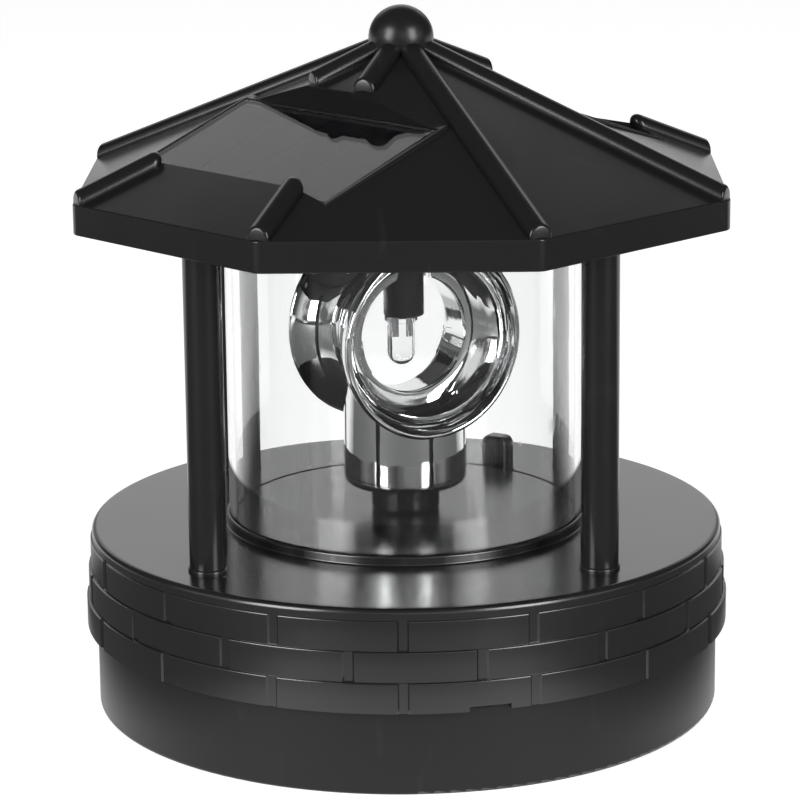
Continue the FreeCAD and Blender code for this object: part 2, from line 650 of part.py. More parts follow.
def base_cup():
    cup = turning([(0, 0), (SKIRT_R, 0), (SKIRT_R, SKIRT_H), (SKIRT_R - WALL, SKIRT_H),
                   (SKIRT_R - WALL, FLOOR), (0, FLOOR)])
    cup = rounded(cup, SKIRT_EDGE_R, ring_edge(0, SKIRT_R - 1))
    spigot_r = BAND_IN_R - LOOSE
    collar = ring(spigot_r, spigot_r - SPIGOT_WALL, SKIRT_H - SPIGOT_ROOT, SKIRT_H + SPIGOT_H)
    boss_r = SCREW_HEAD_R + BOSS_WALL
    bosses = [disc(boss_r, CASE_BOSS_FOOT, CASE_BOSS_SPLIT_Z, polar(CASE_BOSS_OUT, b))
              for b in BOSS_BEARINGS]
    pcb_posts = [disc(SMALL_SCREW_R + BOSS_WALL, FLOOR - 1, PCB_Z, p) for p in PCB_BOSSES]
    walls = slab(2 * (BAY_HALF_L + BAY_WALL), 2 * (BAY_HALF_W + BAY_WALL), FLOOR - 1, FLOOR + BAY_H,
                 0, BAY_Y)
    cover_boss = disc(SMALL_SCREW_R + BOSS_WALL, FLOOR - 1, FLOOR + COVER_SCREW_L, cover_screw_place())
    whole = joined([cup, collar, walls, cover_boss] + bosses + pcb_posts)
    cuts = [slab(2 * BAY_HALF_L, 2 * BAY_HALF_W, -1, FLOOR + BAY_H + 1, 0, BAY_Y)]
    cuts.append(cover_outline(LOOSE, -1, COVER_INSET + COVER_T + SEAT))
    top = COVER_INSET + SMALL_HEAD_H + COVER_SCREW_L + TIP_ROOM
    cuts.append(disc(SMALL_SCREW_R + 2 * SEAT, -1, top, cover_screw_place()))
    for b in BOSS_BEARINGS:
        at = polar(CASE_BOSS_OUT, b)
        cuts += [disc(SCREW_HEAD_R + LOOSE, -1, CASE_SCREW_SEAT, at),
                 disc(SCREW_R + LOOSE, 0, CASE_BOSS_SPLIT_Z + 1, at)]
    cuts += [disc(SMALL_SCREW_R + SEAT, FLOOR, PCB_Z + 1, p) for p in PCB_BOSSES]
    return minus(whole, cuts)


def case_screws():
    return [screw(SCREW_HEAD_R, SCREW_HEAD_H, SCREW_R, CASE_SCREW_L, CASE_SCREW_SEAT, True,
                  polar(CASE_BOSS_OUT, b)) for b in BOSS_BEARINGS]


def battery_cover():
    top = COVER_INSET + COVER_T
    plate = cover_outline(0, COVER_INSET, top)
    at = cover_screw_place()
    return minus(plate, [disc(SMALL_HEAD_R + LOOSE, 0, COVER_INSET + SMALL_HEAD_H, at),
                         disc(SMALL_SCREW_R + LOOSE, 0, top + 1, at)])


def battery_cover_screw():
    return screw(SMALL_HEAD_R, SMALL_HEAD_H - SEAT, SMALL_SCREW_R, COVER_SCREW_L,
                 COVER_INSET + SMALL_HEAD_H, True, cover_screw_place())


# --- battery ----------------------------------------------------------------------
def battery_start():
    """X of the battery's flat end, against the negative contact's dimple."""
    return -BAY_HALF_L + CONTACT_T + DIMPLE_L


def battery_cell():
    x = battery_start()
    can = Part.makeCylinder(CELL_R, CELL_L, V(x, BAY_Y, BATTERY_Z), V(1, 0, 0))
    can = rounded(can, EDGE_R, lambda e: isinstance(e.Curve, Part.Circle))
    nub = Part.makeCylinder(NUB_R, NUB_L, V(x + CELL_L, BAY_Y, BATTERY_Z), V(1, 0, 0))
    return joined([can, nub])


def battery_contact(side):
    """Plate against the bay's end wall; the negative one (-1) has a pressed dimple."""
    x0, x1 = sorted((side * BAY_HALF_L, side * (BAY_HALF_L - CONTACT_T)))
    z0 = BATTERY_Z - CELL_R + BAY_CONTACT_Z
    plate = block(x0, x1, BAY_Y - CONTACT_W / 2, BAY_Y + CONTACT_W / 2, z0, z0 + CONTACT_H)
    if side > 0:
        return plate
    dimple = Part.makeCone(DIMPLE_R, DIMPLE_R / 2, DIMPLE_L, V(x1, BAY_Y, BATTERY_Z), V(1, 0, 0))
    return joined([plate, dimple])


# --- reflector --------------------------------------------------------------------
def bowl_halves(wall, reach):
    """Solid inside the bowls' inner face (wall 0) or outer face, on past the rims by reach."""
    lip = BOWL_R - BOWL_WALL + wall
    throat = THROAT_R + wall
    deep = BOWL_OUT - THROAT_OUT + wall
    high = lip - THROAT_R
    lean = math.asin(wall / high)
    places = [V(THROAT_R + high * math.sin(a), 0, BOWL_OUT - deep * math.cos(a))
              for a in (lean, (lean + math.pi / 2) / 2, math.pi / 2)]
    corners = [places[2], V(lip, 0, BOWL_OUT + reach), V(0, 0, BOWL_OUT + reach), V(0, 0, 0),
               V(throat, 0, 0), places[0]]
    if reach == 0:
        corners.pop(0)
    outline = [Part.LineSegment(a, b).toShape() for a, b in zip(corners, corners[1:])]
    outline.append(Part.Arc(*places).toShape())
    half = Part.Face(Part.Wire(Part.__sortEdges__(outline))).revolve(V(0, 0, 0), V(0, 0, 1), 360)
    both = joined([half, half.mirror(V(0, 0, 0), V(0, 0, 1))])
    return both.rotated(V(0, 0, 0), V(1, 0, 0), 90).translated(V(0, 0, BOWL_Z))


def reflector():
    """Two bowls back to back on one throat, on a hollow stem."""
    inside = bowl_halves(0, STEM_R)
    outside = bowl_halves(BOWL_WALL, 0)
    stem = rounded(disc(STEM_R, HUB_Z, BOWL_Z), STEM_EDGE_R, ring_edge(HUB_Z, 0))
    core = disc(STEM_R - STEM_WALL, HUB_Z + STEM_FLOOR, BOWL_Z).cut(outside)
    socket = disc(DRIVE_SPIGOT_R + SEAT, HUB_Z - 1, HUB_Z + DRIVE_SPIGOT_H + SEAT)
    lamp_hole = disc(HOLDER_R + LAMP_HOLE_GAP, BOWL_Z, BOWL_Z + BOWL_R + 1)
    whole = minus(joined([stem, outside]), [inside, core, socket, lamp_hole])
    return turned(whole, REFLECTOR_BEARING)


# --- spindle and bush -------------------------------------------------------------
def spindle():
    """Pedestal under the reflector, with the shaft that goes down through the deck."""
    return joined([disc(PEDESTAL_R, PEDESTAL_Z, HUB_Z),
                   disc(DRIVE_SPIGOT_R, HUB_Z - 1, HUB_Z + DRIVE_SPIGOT_H),
                   disc(SHAFT_R, PLATE_Z + PLATE_T / 2, PEDESTAL_Z + 1)])


def spindle_bush():
    foot = PLINTH_TOP - BUSH_H
    return minus(joined([disc(BUSH_R, foot, PLINTH_TOP), disc(BUSH_FLANGE_R, foot, foot + BUSH_FLANGE_T)]),
                 [disc(SHAFT_R + SEAT, foot - 1, PLINTH_TOP + 1)])


# --- gears and motor --------------------------------------------------------------
def gear(teeth, z0, z1, at, bore_r, tooth_bearing):
    """Spur gear with straight-flanked teeth, one of them pointing along tooth_bearing."""
    pitch_r = MODULE * teeth / 2
    pitch = 360 / teeth
    corners = []
    for i in range(teeth):
        mid = tooth_bearing + i * pitch
        for share, r in ((-ROOT_SHARE, pitch_r - DEDENDUM), (-TIP_SHARE, pitch_r + MODULE),
                         (TIP_SHARE, pitch_r + MODULE), (ROOT_SHARE, pitch_r - DEDENDUM)):
            corners.append(polar(r, mid + share * pitch, z0))
    wheel = Part.Face(Part.makePolygon(corners + corners[:1])).extrude(V(0, 0, z1 - z0))
    return wheel.translated(V(at.x, at.y, 0)).cut(disc(bore_r, z0 - 1, z1 + 1, at))


def output_gear():
    return gear(OUTPUT_TEETH, OUTPUT_GEAR_Z, OUTPUT_GEAR_Z + GEAR_T, V(0, 0, 0), SHAFT_R + SEAT / 2,
                GEAR_BEARING)


def idler_gear():
    at = gear_place(IDLER_OUT)
    bore = ARBOR_R + SEAT
    back = GEAR_BEARING + 180
    small = gear(IDLER_SMALL_TEETH, LARGE_GEAR_Z, OUTPUT_GEAR_Z + GEAR_T, at, bore,
                 back + 180 / IDLER_SMALL_TEETH)
    large = gear(IDLER_LARGE_TEETH, LARGE_GEAR_Z, LARGE_GEAR_Z + GEAR_T, at, bore, GEAR_BEARING)
    return joined([small, large])


def motor_pinion():
    return gear(PINION_TEETH, LARGE_GEAR_Z, LARGE_GEAR_Z + GEAR_T, gear_place(PINION_OUT),
                MOTOR_SHAFT_R + SEAT / 2, GEAR_BEARING + 180 + 180 / PINION_TEETH)


def motor_shaft():
    return disc(MOTOR_SHAFT_R, PLATE_Z - MOTOR_H / 2, LARGE_GEAR_Z + GEAR_T, gear_place(PINION_OUT))


def motor_screw_places():
    return [gear_place(PINION_OUT, s * MOTOR_SCREW_OUT) for s in (-1, 1)]


def motor_can():
    at = gear_place(PINION_OUT)
    can = disc(MOTOR_R, PLATE_Z - MOTOR_H, PLATE_Z, at)
    can = rounded(can, EDGE_R, ring_edge(PLATE_Z, 0))
    holes = [disc(MOTOR_SHAFT_R + SEAT, PLATE_Z - MOTOR_H / 2 - RUN_GAP, PLATE_Z + 1, at)]
    holes += [disc(SMALL_SCREW_R + SEAT, PLATE_TOP - MOTOR_SCREW_L - TIP_ROOM, PLATE_Z + 1, p)
              for p in motor_screw_places()]
    return minus(can, holes)


def motor_cap():
    """Plastic end cap with its two terminals."""
    at = gear_place(PINION_OUT)
    top = PLATE_Z - MOTOR_H
    cap = disc(MOTOR_R - MOTOR_CAP_IN, top - MOTOR_CAP_H, top, at)
    cap = rounded(cap, EDGE_R, ring_edge(top - MOTOR_CAP_H, 0))
    tip = TERMINAL_TIP - PINION_OUT
    tabs = [turned(block(s * TERMINAL_OUT - TERMINAL_W / 2, s * TERMINAL_OUT + TERMINAL_W / 2,
                         tip - 2 * TERMINAL_L, tip, top - EDGE_R - TERMINAL_T, top - EDGE_R), GEAR_BEARING)
            for s in (-1, 1)]
    return joined([cap] + tabs)


def motor_screws():
    return [screw(SMALL_HEAD_R, SMALL_HEAD_H - 2 * SEAT, SMALL_SCREW_R, MOTOR_SCREW_L - SMALL_HEAD_H,
                  PLATE_TOP - SMALL_HEAD_H, False, p) for p in motor_screw_places()]


def gear_plate():
    corners = [V(p.x, p.y, PLATE_Z) for p in PILLARS]
    outline = Part.makePolygon(corners + corners[:1]).makeOffset2D(PLATE_MARGIN)
    plate = Part.Face(outline).extrude(V(0, 0, PLATE_T))
    cuts = [disc(SHAFT_R + SEAT, PLATE_Z - 1, PLATE_TOP + 1),
            disc(ARBOR_R + SEAT / 2, PLATE_Z - 1, PLATE_TOP + 1, gear_place(IDLER_OUT)),
            disc(MOTOR_SHAFT_R + RUN_GAP, PLATE_Z - 1, PLATE_TOP + 1, gear_place(PINION_OUT))]
    cuts += [disc(SMALL_SCREW_R + LOOSE, PLATE_Z - 1, PLATE_TOP + 1, p) for p in PILLARS]
    for p in motor_screw_places():
        cuts += [disc(SMALL_SCREW_R + LOOSE, PLATE_Z - 1, PLATE_TOP + 1, p),
                 disc(SMALL_HEAD_R + LOOSE, PLATE_TOP - SMALL_HEAD_H, PLATE_TOP + 1, p)]
    return minus(plate, cuts)


def idler_arbor():
    at = gear_place(IDLER_OUT)
    return disc(ARBOR_R, PLATE_Z, OUTPUT_GEAR_Z + GEAR_T + ARBOR_STUB, at)


def plate_screws():
    return [screw(SMALL_HEAD_R, SMALL_HEAD_H, SMALL_SCREW_R, PLATE_SCREW_L, PLATE_Z, True, p)
            for p in PILLARS]


# --- lamp -------------------------------------------------------------------------
def led_holder():
    top = CEILING_TOP + HOLDER_FLANGE_T
    return minus(joined([disc(HOLDER_R, HOLDER_MOUTH_Z, top), disc(HOLDER_FLANGE_R, CEILING_TOP, top)]),
                 [disc(HOLDER_BORE_R, HOLDER_MOUTH_Z - 1, top + 1)])


def led_legs():
    """Lead frame: two legs up through the holder, one with the reflector cup, one with the bond post."""
    legs = []
    for s, post_r in ((-1, ANVIL_R), (1, BOND_POST_R)):
        at = V(LED_OFFSET + s * LEG_SPACING / 2, 0, 0)
        inside = V(LED_OFFSET + s * ANVIL_OUT, 0, 0)
        leg = disc(LEG_R, LED_TOP_Z - LEG_SINK, CEILING_TOP + HOLDER_FLANGE_T, at)
        legs.append(joined([leg, disc(post_r, LED_TOP_Z - LEG_SINK - ANVIL_H, LED_TOP_Z - LEG_SINK / 2, inside)]))
    return legs


def led_lens():
    """Clear body: flange, straight barrel and round nose, cast round the lead frame."""
    at = V(LED_OFFSET, 0, 0)
    nose_z = LED_TOP_Z - LED_LENGTH + LED_R
    body = joined([disc(LED_R, nose_z, LED_TOP_Z, at), Part.makeSphere(LED_R, V(LED_OFFSET, 0, nose_z)),
                   disc(LED_FLANGE_R, LED_TOP_Z - LED_FLANGE_T, LED_TOP_Z, at)])
    return minus(body, led_legs())


# --- switch -----------------------------------------------------------------------
def button_plan(grow, z0, z1):
    """Upright block with the button's rounded outline, grown by a gap all round."""
    shape = slab(BUTTON_W + 2 * grow, BUTTON_D + 2 * grow, z0, z1, 0, -BUTTON_OUT)
    shape = rounded(shape, BUTTON_EDGE_R + grow, lambda e: abs(e.Vertexes[0].Z - e.Vertexes[1].Z) > 0.5)
    return turned(shape, BUTTON_BEARING)


def switch_button():
    top = DECK_Z + BUTTON_H
    cap = button_plan(0, BUTTON_FLANGE_TOP - 1, top)
    cap = rounded(cap, BUTTON_TOP_R, lambda e: abs(e.BoundBox.ZMin - top) < 1e-6)
    nub = turned(Part.makeSphere(BUTTON_NUB_R, V(BUTTON_W / 2, -BUTTON_OUT, DECK_Z + BUTTON_H / 2)),
                 BUTTON_BEARING)
    flange = button_plan(BUTTON_FLANGE_OVER, BUTTON_FLANGE_TOP - BUTTON_FLANGE_T, BUTTON_FLANGE_TOP)
    at = polar(BUTTON_OUT, BUTTON_BEARING)
    foot = BUTTON_FLANGE_TOP - BUTTON_FLANGE_T
    return joined([cap, nub, flange, disc(PLUNGER_R, foot - PLUNGER_L, foot, at)])


def switch_case():
    case = slab(SWITCH_SIZE, SWITCH_SIZE, SWITCH_TOP - SWITCH_H, SWITCH_TOP, 0, -BUTTON_OUT)
    at = polar(BUTTON_OUT, BUTTON_BEARING)
    foot = BUTTON_FLANGE_TOP - BUTTON_FLANGE_T - PLUNGER_L - BUTTON_TRAVEL - RUN_GAP
    return turned(case, BUTTON_BEARING).cut(disc(PLUNGER_R + RUN_GAP, foot, SWITCH_TOP + 1, at))


# --- circuit board ----------------------------------------------------------------
def circuit_board():
    board = slab(PCB_L, PCB_W, PCB_Z, PCB_Z + PCB_T, PCB_X, 0)
    return minus(board, [disc(SMALL_SCREW_R + LOOSE, PCB_Z - 1, PCB_Z + PCB_T + 1, p) for p in PCB_BOSSES])


def board_parts():
    """Charging chip, winding and capacitor on the board's top."""
    z = PCB_Z + PCB_T
    middle = V(PCB_X, 0, 0)
    chip_at = middle + CHIP_PLACE
    chip = slab(CHIP[0], CHIP[1], z, z + CHIP[2], chip_at.x, chip_at.y)
    coil = disc(COIL_R, z, z + COIL_H, middle + COIL_PLACE)
    can = disc(CAPACITOR_R, z, z + CAPACITOR_H, middle + CAPACITOR_PLACE)
    return [chip] + [rounded(c, EDGE_R, ring_edge(z + h, 0)) for c, h in ((coil, COIL_H), (can, CAPACITOR_H))]


def board_screws():
    return [screw(SMALL_HEAD_R, SMALL_HEAD_H, SMALL_SCREW_R, PCB_SCREW_L, PCB_Z + PCB_T, False, p)
            for p in PCB_BOSSES]


# --- wires ------------------------------------------------------------------------
def wire(points):
    """Round wire along straight runs joined by tangent arcs."""
    edges = []
    start = points[0]
    for i in range(1, len(points) - 1):
        before, here, after = points[i - 1], points[i], points[i + 1]
        a = (before - here).normalize()
        b = (after - here).normalize()
        half_turn = (math.pi - a.getAngle(b)) / 2
        run = min((before - here).Length, (after - here).Length)
        radius = min(WIRE_BEND_R, 0.45 * run / math.tan(half_turn))
        cut = radius * math.tan(half_turn)
        p, q = here + a * cut, here + b * cut
        middle = here + (a + b).normalize() * (radius / math.cos(half_turn) - radius)
        edges += [Part.LineSegment(start, p).toShape(), Part.Arc(p, middle, q).toShape()]
        start = q
    edges.append(Part.LineSegment(start, points[-1]).toShape())
    path = Part.Wire(edges)
    section = Part.Wire(Part.makeCircle(WIRE_R, points[0], points[1] - points[0]))
    return path.makePipeShell([section], True, False)


def pair(points, side):
    """Two wires side by side, half the pitch each way along side."""
    step = side.normalize() * (WIRE_PITCH / 2)
    return [wire([p + step * s for p in points]) for s in (-1, 1)]


def panel_wires(bearing, across, level, rest):
    """A panel's two wires: square to its back through the tray's hole, then over to the rest.

    across points from one wire to the other in the panel's own axes.
    """
    back = -BOARD_T - RESIN_T
    step = turned(Part.Vertex(across * (WIRE_PITCH / 2)), bearing).Point
    wires = []
    for s in (-1, 1):
        lead = [on_panel(Part.Vertex(across * (s * WIRE_PITCH / 2) + V(0, 0, z)), bearing).Point
                for z in (back, back - TRAY_FLOOR - LEAD_L)]
        ahead = (V(rest[0].x, rest[0].y, 0) - V(lead[1].x, lead[1].y, 0)).normalize() * LEAD_RUN
        bend = V(lead[1].x + ahead.x, lead[1].y + ahead.y, level)
        wires.append(wire(lead + [bend] + [p + step * s for p in rest]))
    return wires


def onto_board(x, y):
    """The last two points of a wire, straight down onto its pad."""
    pad_z = PCB_Z + PCB_T
    return [V(x, y, pad_z + PAD_DROP), V(x, y, pad_z)]


def front_panel_wires():
    """Across the roof, down the back left post and round the motor to the board."""
    at = polar(POST_CIRCLE_R, POST_BEARINGS["back_left"])
    low = FLOOR + BASE_RUN
    pad_x = PADS["front_panel"]
    rest = [V(at.x, at.y, HIGH_LEVEL), V(at.x, at.y, low), V(-8, 29, low), V(10, 27, low),
            V(pad_x - 2.5, 22, low + 3)] + onto_board(pad_x, PAD_Y)
    return panel_wires(PANEL_BEARINGS["front"], V(0, 1, 0), HIGH_LEVEL, rest)


def down_back_right(level, shift, low, landing):
    """From the roof down the back right post's bore and onto the board."""
    at = polar(POST_CIRCLE_R + shift, POST_BEARINGS["back_right"])
    down = [V(at.x, at.y, level), V(at.x, at.y, low), V(landing, at.y - TURN_IN, low)]
    return down + onto_board(landing, PAD_Y)


def back_panel_wires():
    low = PCB_Z + PCB_T + PAD_DROP
    rest = down_back_right(HIGH_LEVEL, BORE_SHIFT, low, PADS["back_panel"])
    return panel_wires(PANEL_BEARINGS["back"], V(1, 0, 0), HIGH_LEVEL, rest)


def led_wires():
    """From the tops of the lamp's legs; the pair closes up on its way to the post."""
    low = PCB_Z + PCB_T + PAD_DROP + HIGH_LEVEL - LOW_LEVEL
    wires = []
    for s in (-1, 1):
        x = LED_OFFSET + s * LEG_SPACING / 2
        step = V(1, -1, 0).normalize() * (s * WIRE_PITCH / 2)
        rest = [p + step for p in down_back_right(LOW_LEVEL, -BORE_SHIFT, low, PADS["led"])]
        wires.append(wire([V(x, 0, CEILING_TOP + HOLDER_FLANGE_T), V(x, 0, LED_WIRE_TOP),
                           V(x + LED_WIRE_OVER, LED_WIRE_OVER, LOW_LEVEL)] + rest))
    return wires


def battery_wires():
    """One wire from the top of each contact, over the battery to the board."""
    top = BATTERY_Z - CELL_R + BAY_CONTACT_Z + CONTACT_H
    x = BAY_HALF_L - CONTACT_T / 2
    high = top + 4
    plus_x, minus_x = PADS["battery_plus"], PADS["battery_minus"]
    plus = [V(x, BAY_Y, top), V(x, BAY_Y, high), V(plus_x, -16, high)] + onto_board(plus_x, -PAD_Y)
    minus_side = [V(-x, BAY_Y, top), V(-x, BAY_Y, high), V(-14, -24, high), V(10, -22, high),
                  V(minus_x, -17, high)] + onto_board(minus_x, -PAD_Y)
    return [wire(plus), wire(minus_side)]


def motor_wires():
    """From the motor's terminals, under the gear plate to the board."""
    z = PLATE_Z - MOTOR_H - EDGE_R - TERMINAL_T / 2
    first = PINION_OUT - TERMINAL_TIP
    pad_x = PADS["motor"]
    wires = []
    for s in (-1, 1):
        start, onward = (gear_place(out, s * TERMINAL_OUT) for out in (first, first - 8))
        y = s * WIRE_PITCH
        wires.append(wire([V(start.x, start.y, z), V(onward.x, onward.y, z), V(pad_x - 9.5, y, z + 1)]
                          + onto_board(pad_x, y)))
    return wires


def switch_wires():
    at = polar(BUTTON_OUT, BUTTON_BEARING)
    foot = SWITCH_TOP - SWITCH_H
    line = [V(at.x, at.y, foot), V(at.x, at.y, foot - 4)] + onto_board(PADS["switch"], PAD_Y)
    return pair(line, V(1, 0, 0))


save("roof_shell", roof_shell())
save("ceiling_plate", ceiling_plate())
save("roof_screws", *roof_screws())
save_panels()
for post_side, post_bearing in POST_BEARINGS.items():
    save(f"post_{post_side}", post(post_bearing))
save("post_screws", *post_screws())
save("clear_cylinder", clear_cylinder())
save("deck_housing", deck_housing())
save("base_cup", base_cup())
save("case_screws", *case_screws())
save("battery_cover", battery_cover())
save("battery_cover_screw", battery_cover_screw())
save("battery_cell", battery_cell())
save("battery_contact_plus", battery_contact(1))
save("battery_contact_minus", battery_contact(-1))
save("reflector", reflector())
save("spindle", spindle())
save("spindle_bush", spindle_bush())
save("output_gear", output_gear())
save("idler_gear", idler_gear())
save("motor_pinion", motor_pinion())
save("motor_shaft", motor_shaft())
save("motor_can", motor_can())
save("motor_cap", motor_cap())
save("motor_screws", *motor_screws())
save("gear_plate", gear_plate())
save("idler_arbor", idler_arbor())
save("plate_screws", *plate_screws())
save("led_holder", led_holder())
save("led_legs", *led_legs())
save("led_lens", led_lens())
save("switch_button", switch_button())
save("switch_case", switch_case())
save("circuit_board", circuit_board())
save("board_parts", *board_parts())
save("board_screws", *board_screws())
save("front_panel_wires", *front_panel_wires())
save("back_panel_wires", *back_panel_wires())
save("led_wires", *led_wires())
save("battery_wires", *battery_wires())
save("motor_wires", *motor_wires())
save("switch_wires", *switch_wires())
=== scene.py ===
"""Garden lighthouse lantern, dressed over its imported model: an eight-sided roof with two solar
panels, four posts, a clear cylinder with a bright double reflector round a hanging lamp, and a
brick-banded base.

Metres, +Z up, front towards -Y. Bearings (degrees) run from the front towards +X.
"""

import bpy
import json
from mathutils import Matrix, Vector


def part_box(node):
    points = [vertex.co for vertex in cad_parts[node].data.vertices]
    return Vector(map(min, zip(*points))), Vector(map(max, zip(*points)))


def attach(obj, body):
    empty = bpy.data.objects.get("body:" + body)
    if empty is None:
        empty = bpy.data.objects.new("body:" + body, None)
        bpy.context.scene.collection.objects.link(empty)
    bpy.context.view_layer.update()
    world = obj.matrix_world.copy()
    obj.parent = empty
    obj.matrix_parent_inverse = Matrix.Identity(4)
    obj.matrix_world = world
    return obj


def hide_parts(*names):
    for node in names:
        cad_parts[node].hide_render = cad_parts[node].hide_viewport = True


bl_info = {
    "name": "Garden Lighthouse Lantern",
    "version": (1, 0, 0),
    "blender": (4, 5, 0),
    "location": "View3D > Sidebar > Lantern",
    "description": "Makes the finished pieces of a garden lighthouse lantern over its packed model",
    "category": "Add Mesh",
}

import json
import math

import bmesh
import bpy
from mathutils import Matrix, Vector

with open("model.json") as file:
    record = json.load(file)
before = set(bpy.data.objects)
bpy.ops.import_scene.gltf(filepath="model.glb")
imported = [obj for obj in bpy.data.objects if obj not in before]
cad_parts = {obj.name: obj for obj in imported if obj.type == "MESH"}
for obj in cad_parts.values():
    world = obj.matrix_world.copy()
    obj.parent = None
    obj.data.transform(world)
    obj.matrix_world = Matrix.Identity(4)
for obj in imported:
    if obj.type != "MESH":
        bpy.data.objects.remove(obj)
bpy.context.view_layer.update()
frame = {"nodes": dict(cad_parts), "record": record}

MM = 0.001
SEGMENTS = 160
SHARP = math.radians(32)
SMALL_EDGE = 0.15 * MM     # eased edge of small parts
HIDDEN_GAP = 0.02 * MM     # keeps a clear top off what lies under it

# heights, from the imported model
COURSES = 3
COURSE_H = 5.25 * MM
LIP_H = 2.0 * MM
SKIRT_Z = 14.95 * MM
DECK_Z = SKIRT_Z + COURSES * COURSE_H + LIP_H
PLINTH_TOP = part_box("spindle_bush")[1].z
CEILING_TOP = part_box("ceiling_plate")[1].z
CEILING_Z = CEILING_TOP - 2.0 * MM
EAVE_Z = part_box("roof_shell")[0].z
GLASS_LOW, GLASS_HIGH = (corner.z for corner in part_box("clear_cylinder"))
GLASS_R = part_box("clear_cylinder")[1].x
GLASS_WALL = 1.2 * MM
HUB_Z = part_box("reflector")[0].z
LENS_LOW, LENS_TOP = (corner.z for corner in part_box("led_lens"))
HOLDER_LOW, HOLDER_TOP = (corner.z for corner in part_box("led_holder"))
SPINDLE_LOW, SPINDLE_TOP = (corner.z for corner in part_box("spindle"))

SIDES = 8
HALF_SIDE = math.pi / SIDES
PANEL_BEARINGS = {"front": -45, "back": 135}
POST_BEARINGS = {"front_left": -45, "front_right": 45, "back_right": 135, "back_left": -135}
POST_CIRCLE_R = 47.1 * MM
SPIGOT_R = 2.5 * MM
BUTTON_BEARING = 150
BUTTON_OUT = 35.3 * MM
BUTTON_W, BUTTON_D, BUTTON_CORNER = 5.7 * MM, 5.0 * MM, 1.6 * MM


# --- settings a user would change ---
def length(name, description, millimetres):
    return bpy.props.FloatProperty(name=name, description=description, default=millimetres * MM,
                                   unit="LENGTH", precision=5)


def angle(name, description, degrees):
    return bpy.props.FloatProperty(name=name, description=description, subtype="ANGLE",
                                   default=math.radians(degrees))


def power(name, description, watts):
    return bpy.props.FloatProperty(name=name, description=description, default=watts, unit="POWER")


def colour(name, description, default):
    return bpy.props.FloatVectorProperty(name=name, description=description, default=default,
                                         subtype="COLOR", size=3, min=0, max=1)


class RoofSettings(bpy.types.PropertyGroup):
    eave_r: length("Eave radius", "Centre to a corner of the fascia", 60.3)
    fascia_h: length("Fascia height", "Height of the upright edge", 5.32)
    rise: length("Rise", "From the fascia to where the ridges meet", 24.67)
    wall: length("Wall", "Thickness of the moulding", 2.0)
    corner_r: length("Corner radius", "Rounding of the fascia's upright corners", 2.4)
    rib_r: length("Rib radius", "Radius of the ridge ribs", 2.0)
    ball_r: length("Ball radius", "Radius of the ball on top", 5.69)


class PanelSettings(bpy.types.PropertyGroup):
    width: length("Width", "Panel size across the slope", 47.6)
    depth: length("Depth", "Panel size up the slope", 27.2)
    out: length("Distance", "Panel centre from the roof's axis", 28.0)
    height: length("Height", "Panel centre above the ground", 103.1)
    slope: angle("Slope", "Tilt of the panels", 18.5)
    thickness: length("Thickness", "Board and resin together", 2.4)


class DeckSettings(bpy.types.PropertyGroup):
    lip_r: length("Lip radius", "Outer radius of the deck's lip", 56.3)
    course_r: length("Top course radius", "Outer radius of the top brick course", 56.6)
    course_step: length("Course step", "How much further each lower course stands out", 0.45)
    joint_w: length("Joint width", "Width of the upright brick joints", 1.7)
    joint_depth: length("Joint depth", "Depth of the upright brick joints", 0.3)
    bricks: bpy.props.IntProperty(name="Bricks", description="Bricks in one course", default=16, min=4)


class ReflectorSettings(bpy.types.PropertyGroup):
    bearing: angle("Bearing", "Where the front bowl points", 31)
    centre_z: length("Bowl height", "Axis of the bowls above the ground", 66.8)
    reach: length("Reach", "From the axis to a bowl's rim plane", 11.0)
    rim_r: length("Rim radius", "Outer radius of a bowl", 17.6)
    throat_r: length("Throat radius", "Bore between the bowls", 10.4)
    stem_r: length("Stem radius", "Radius of the stem under the bowls", 10.95)


class FinishSettings(bpy.types.PropertyGroup):
    plastic: colour("Plastic", "Black moulded plastic", (0.01, 0.01, 0.0102))
    metal: colour("Reflector", "Bright metallised coat", (0.9, 0.905, 0.91))
    clear: colour("Clear", "Clear plastic", (0.985, 0.99, 0.99))
    cell: colour("Solar cell", "Dark silicon", (0.006, 0.0062, 0.008))


class StageSettings(bpy.types.PropertyGroup):
    floor: colour("Floor", "Pale floor", (0.6, 0.6, 0.6))
    left_power: power("Left power", "Soft lamp at the front left", 10)
    right_power: power("Right power", "Soft lamp at the front right", 9)
    camera_distance: length("Camera distance", "Camera to the object's middle", 618.68)
    camera_rise: angle("Camera elevation", "Angle above level", 14.206)


SETTINGS = {"roof": RoofSettings, "panels": PanelSettings, "deck": DeckSettings,
            "reflector": ReflectorSettings, "finish": FinishSettings, "stage": StageSettings}


def chosen(group):
    return getattr(bpy.context.scene, "lantern_" + group)


# --- shader groups ---
def new_group(name, inputs, outputs):
    group = bpy.data.node_groups.new(name, "ShaderNodeTree")
    for label, value in inputs.items():
        socket = group.interface.new_socket(name=label, in_out="INPUT", socket_type="NodeSocketFloat")
        socket.default_value = value
    for label in outputs:
        group.interface.new_socket(name=label, in_out="OUTPUT", socket_type="NodeSocketFloat")
    return group, group.nodes.new("NodeGroupInput"), group.nodes.new("NodeGroupOutput")


def linked(tree, kind, wires, **settings):
    """Adds a node, sets its properties and joins or fills its inputs."""
    node = tree.nodes.new(kind)
    for key, value in settings.items():
        setattr(node, key, value)
    for socket, value in wires.items():
        if isinstance(value, bpy.types.NodeSocket):
            tree.links.new(value, node.inputs[socket])
        else:
            node.inputs[socket].default_value = value
    return node


def maths(tree, operation, a, b=0.0):
    return linked(tree, "ShaderNodeMath", {0: a, 1: b}, operation=operation).outputs[0]


def times(tree, a, b):
    return maths(tree, "MULTIPLY", a, b)


def plus(tree, a, b):
    return maths(tree, "ADD", a, b)


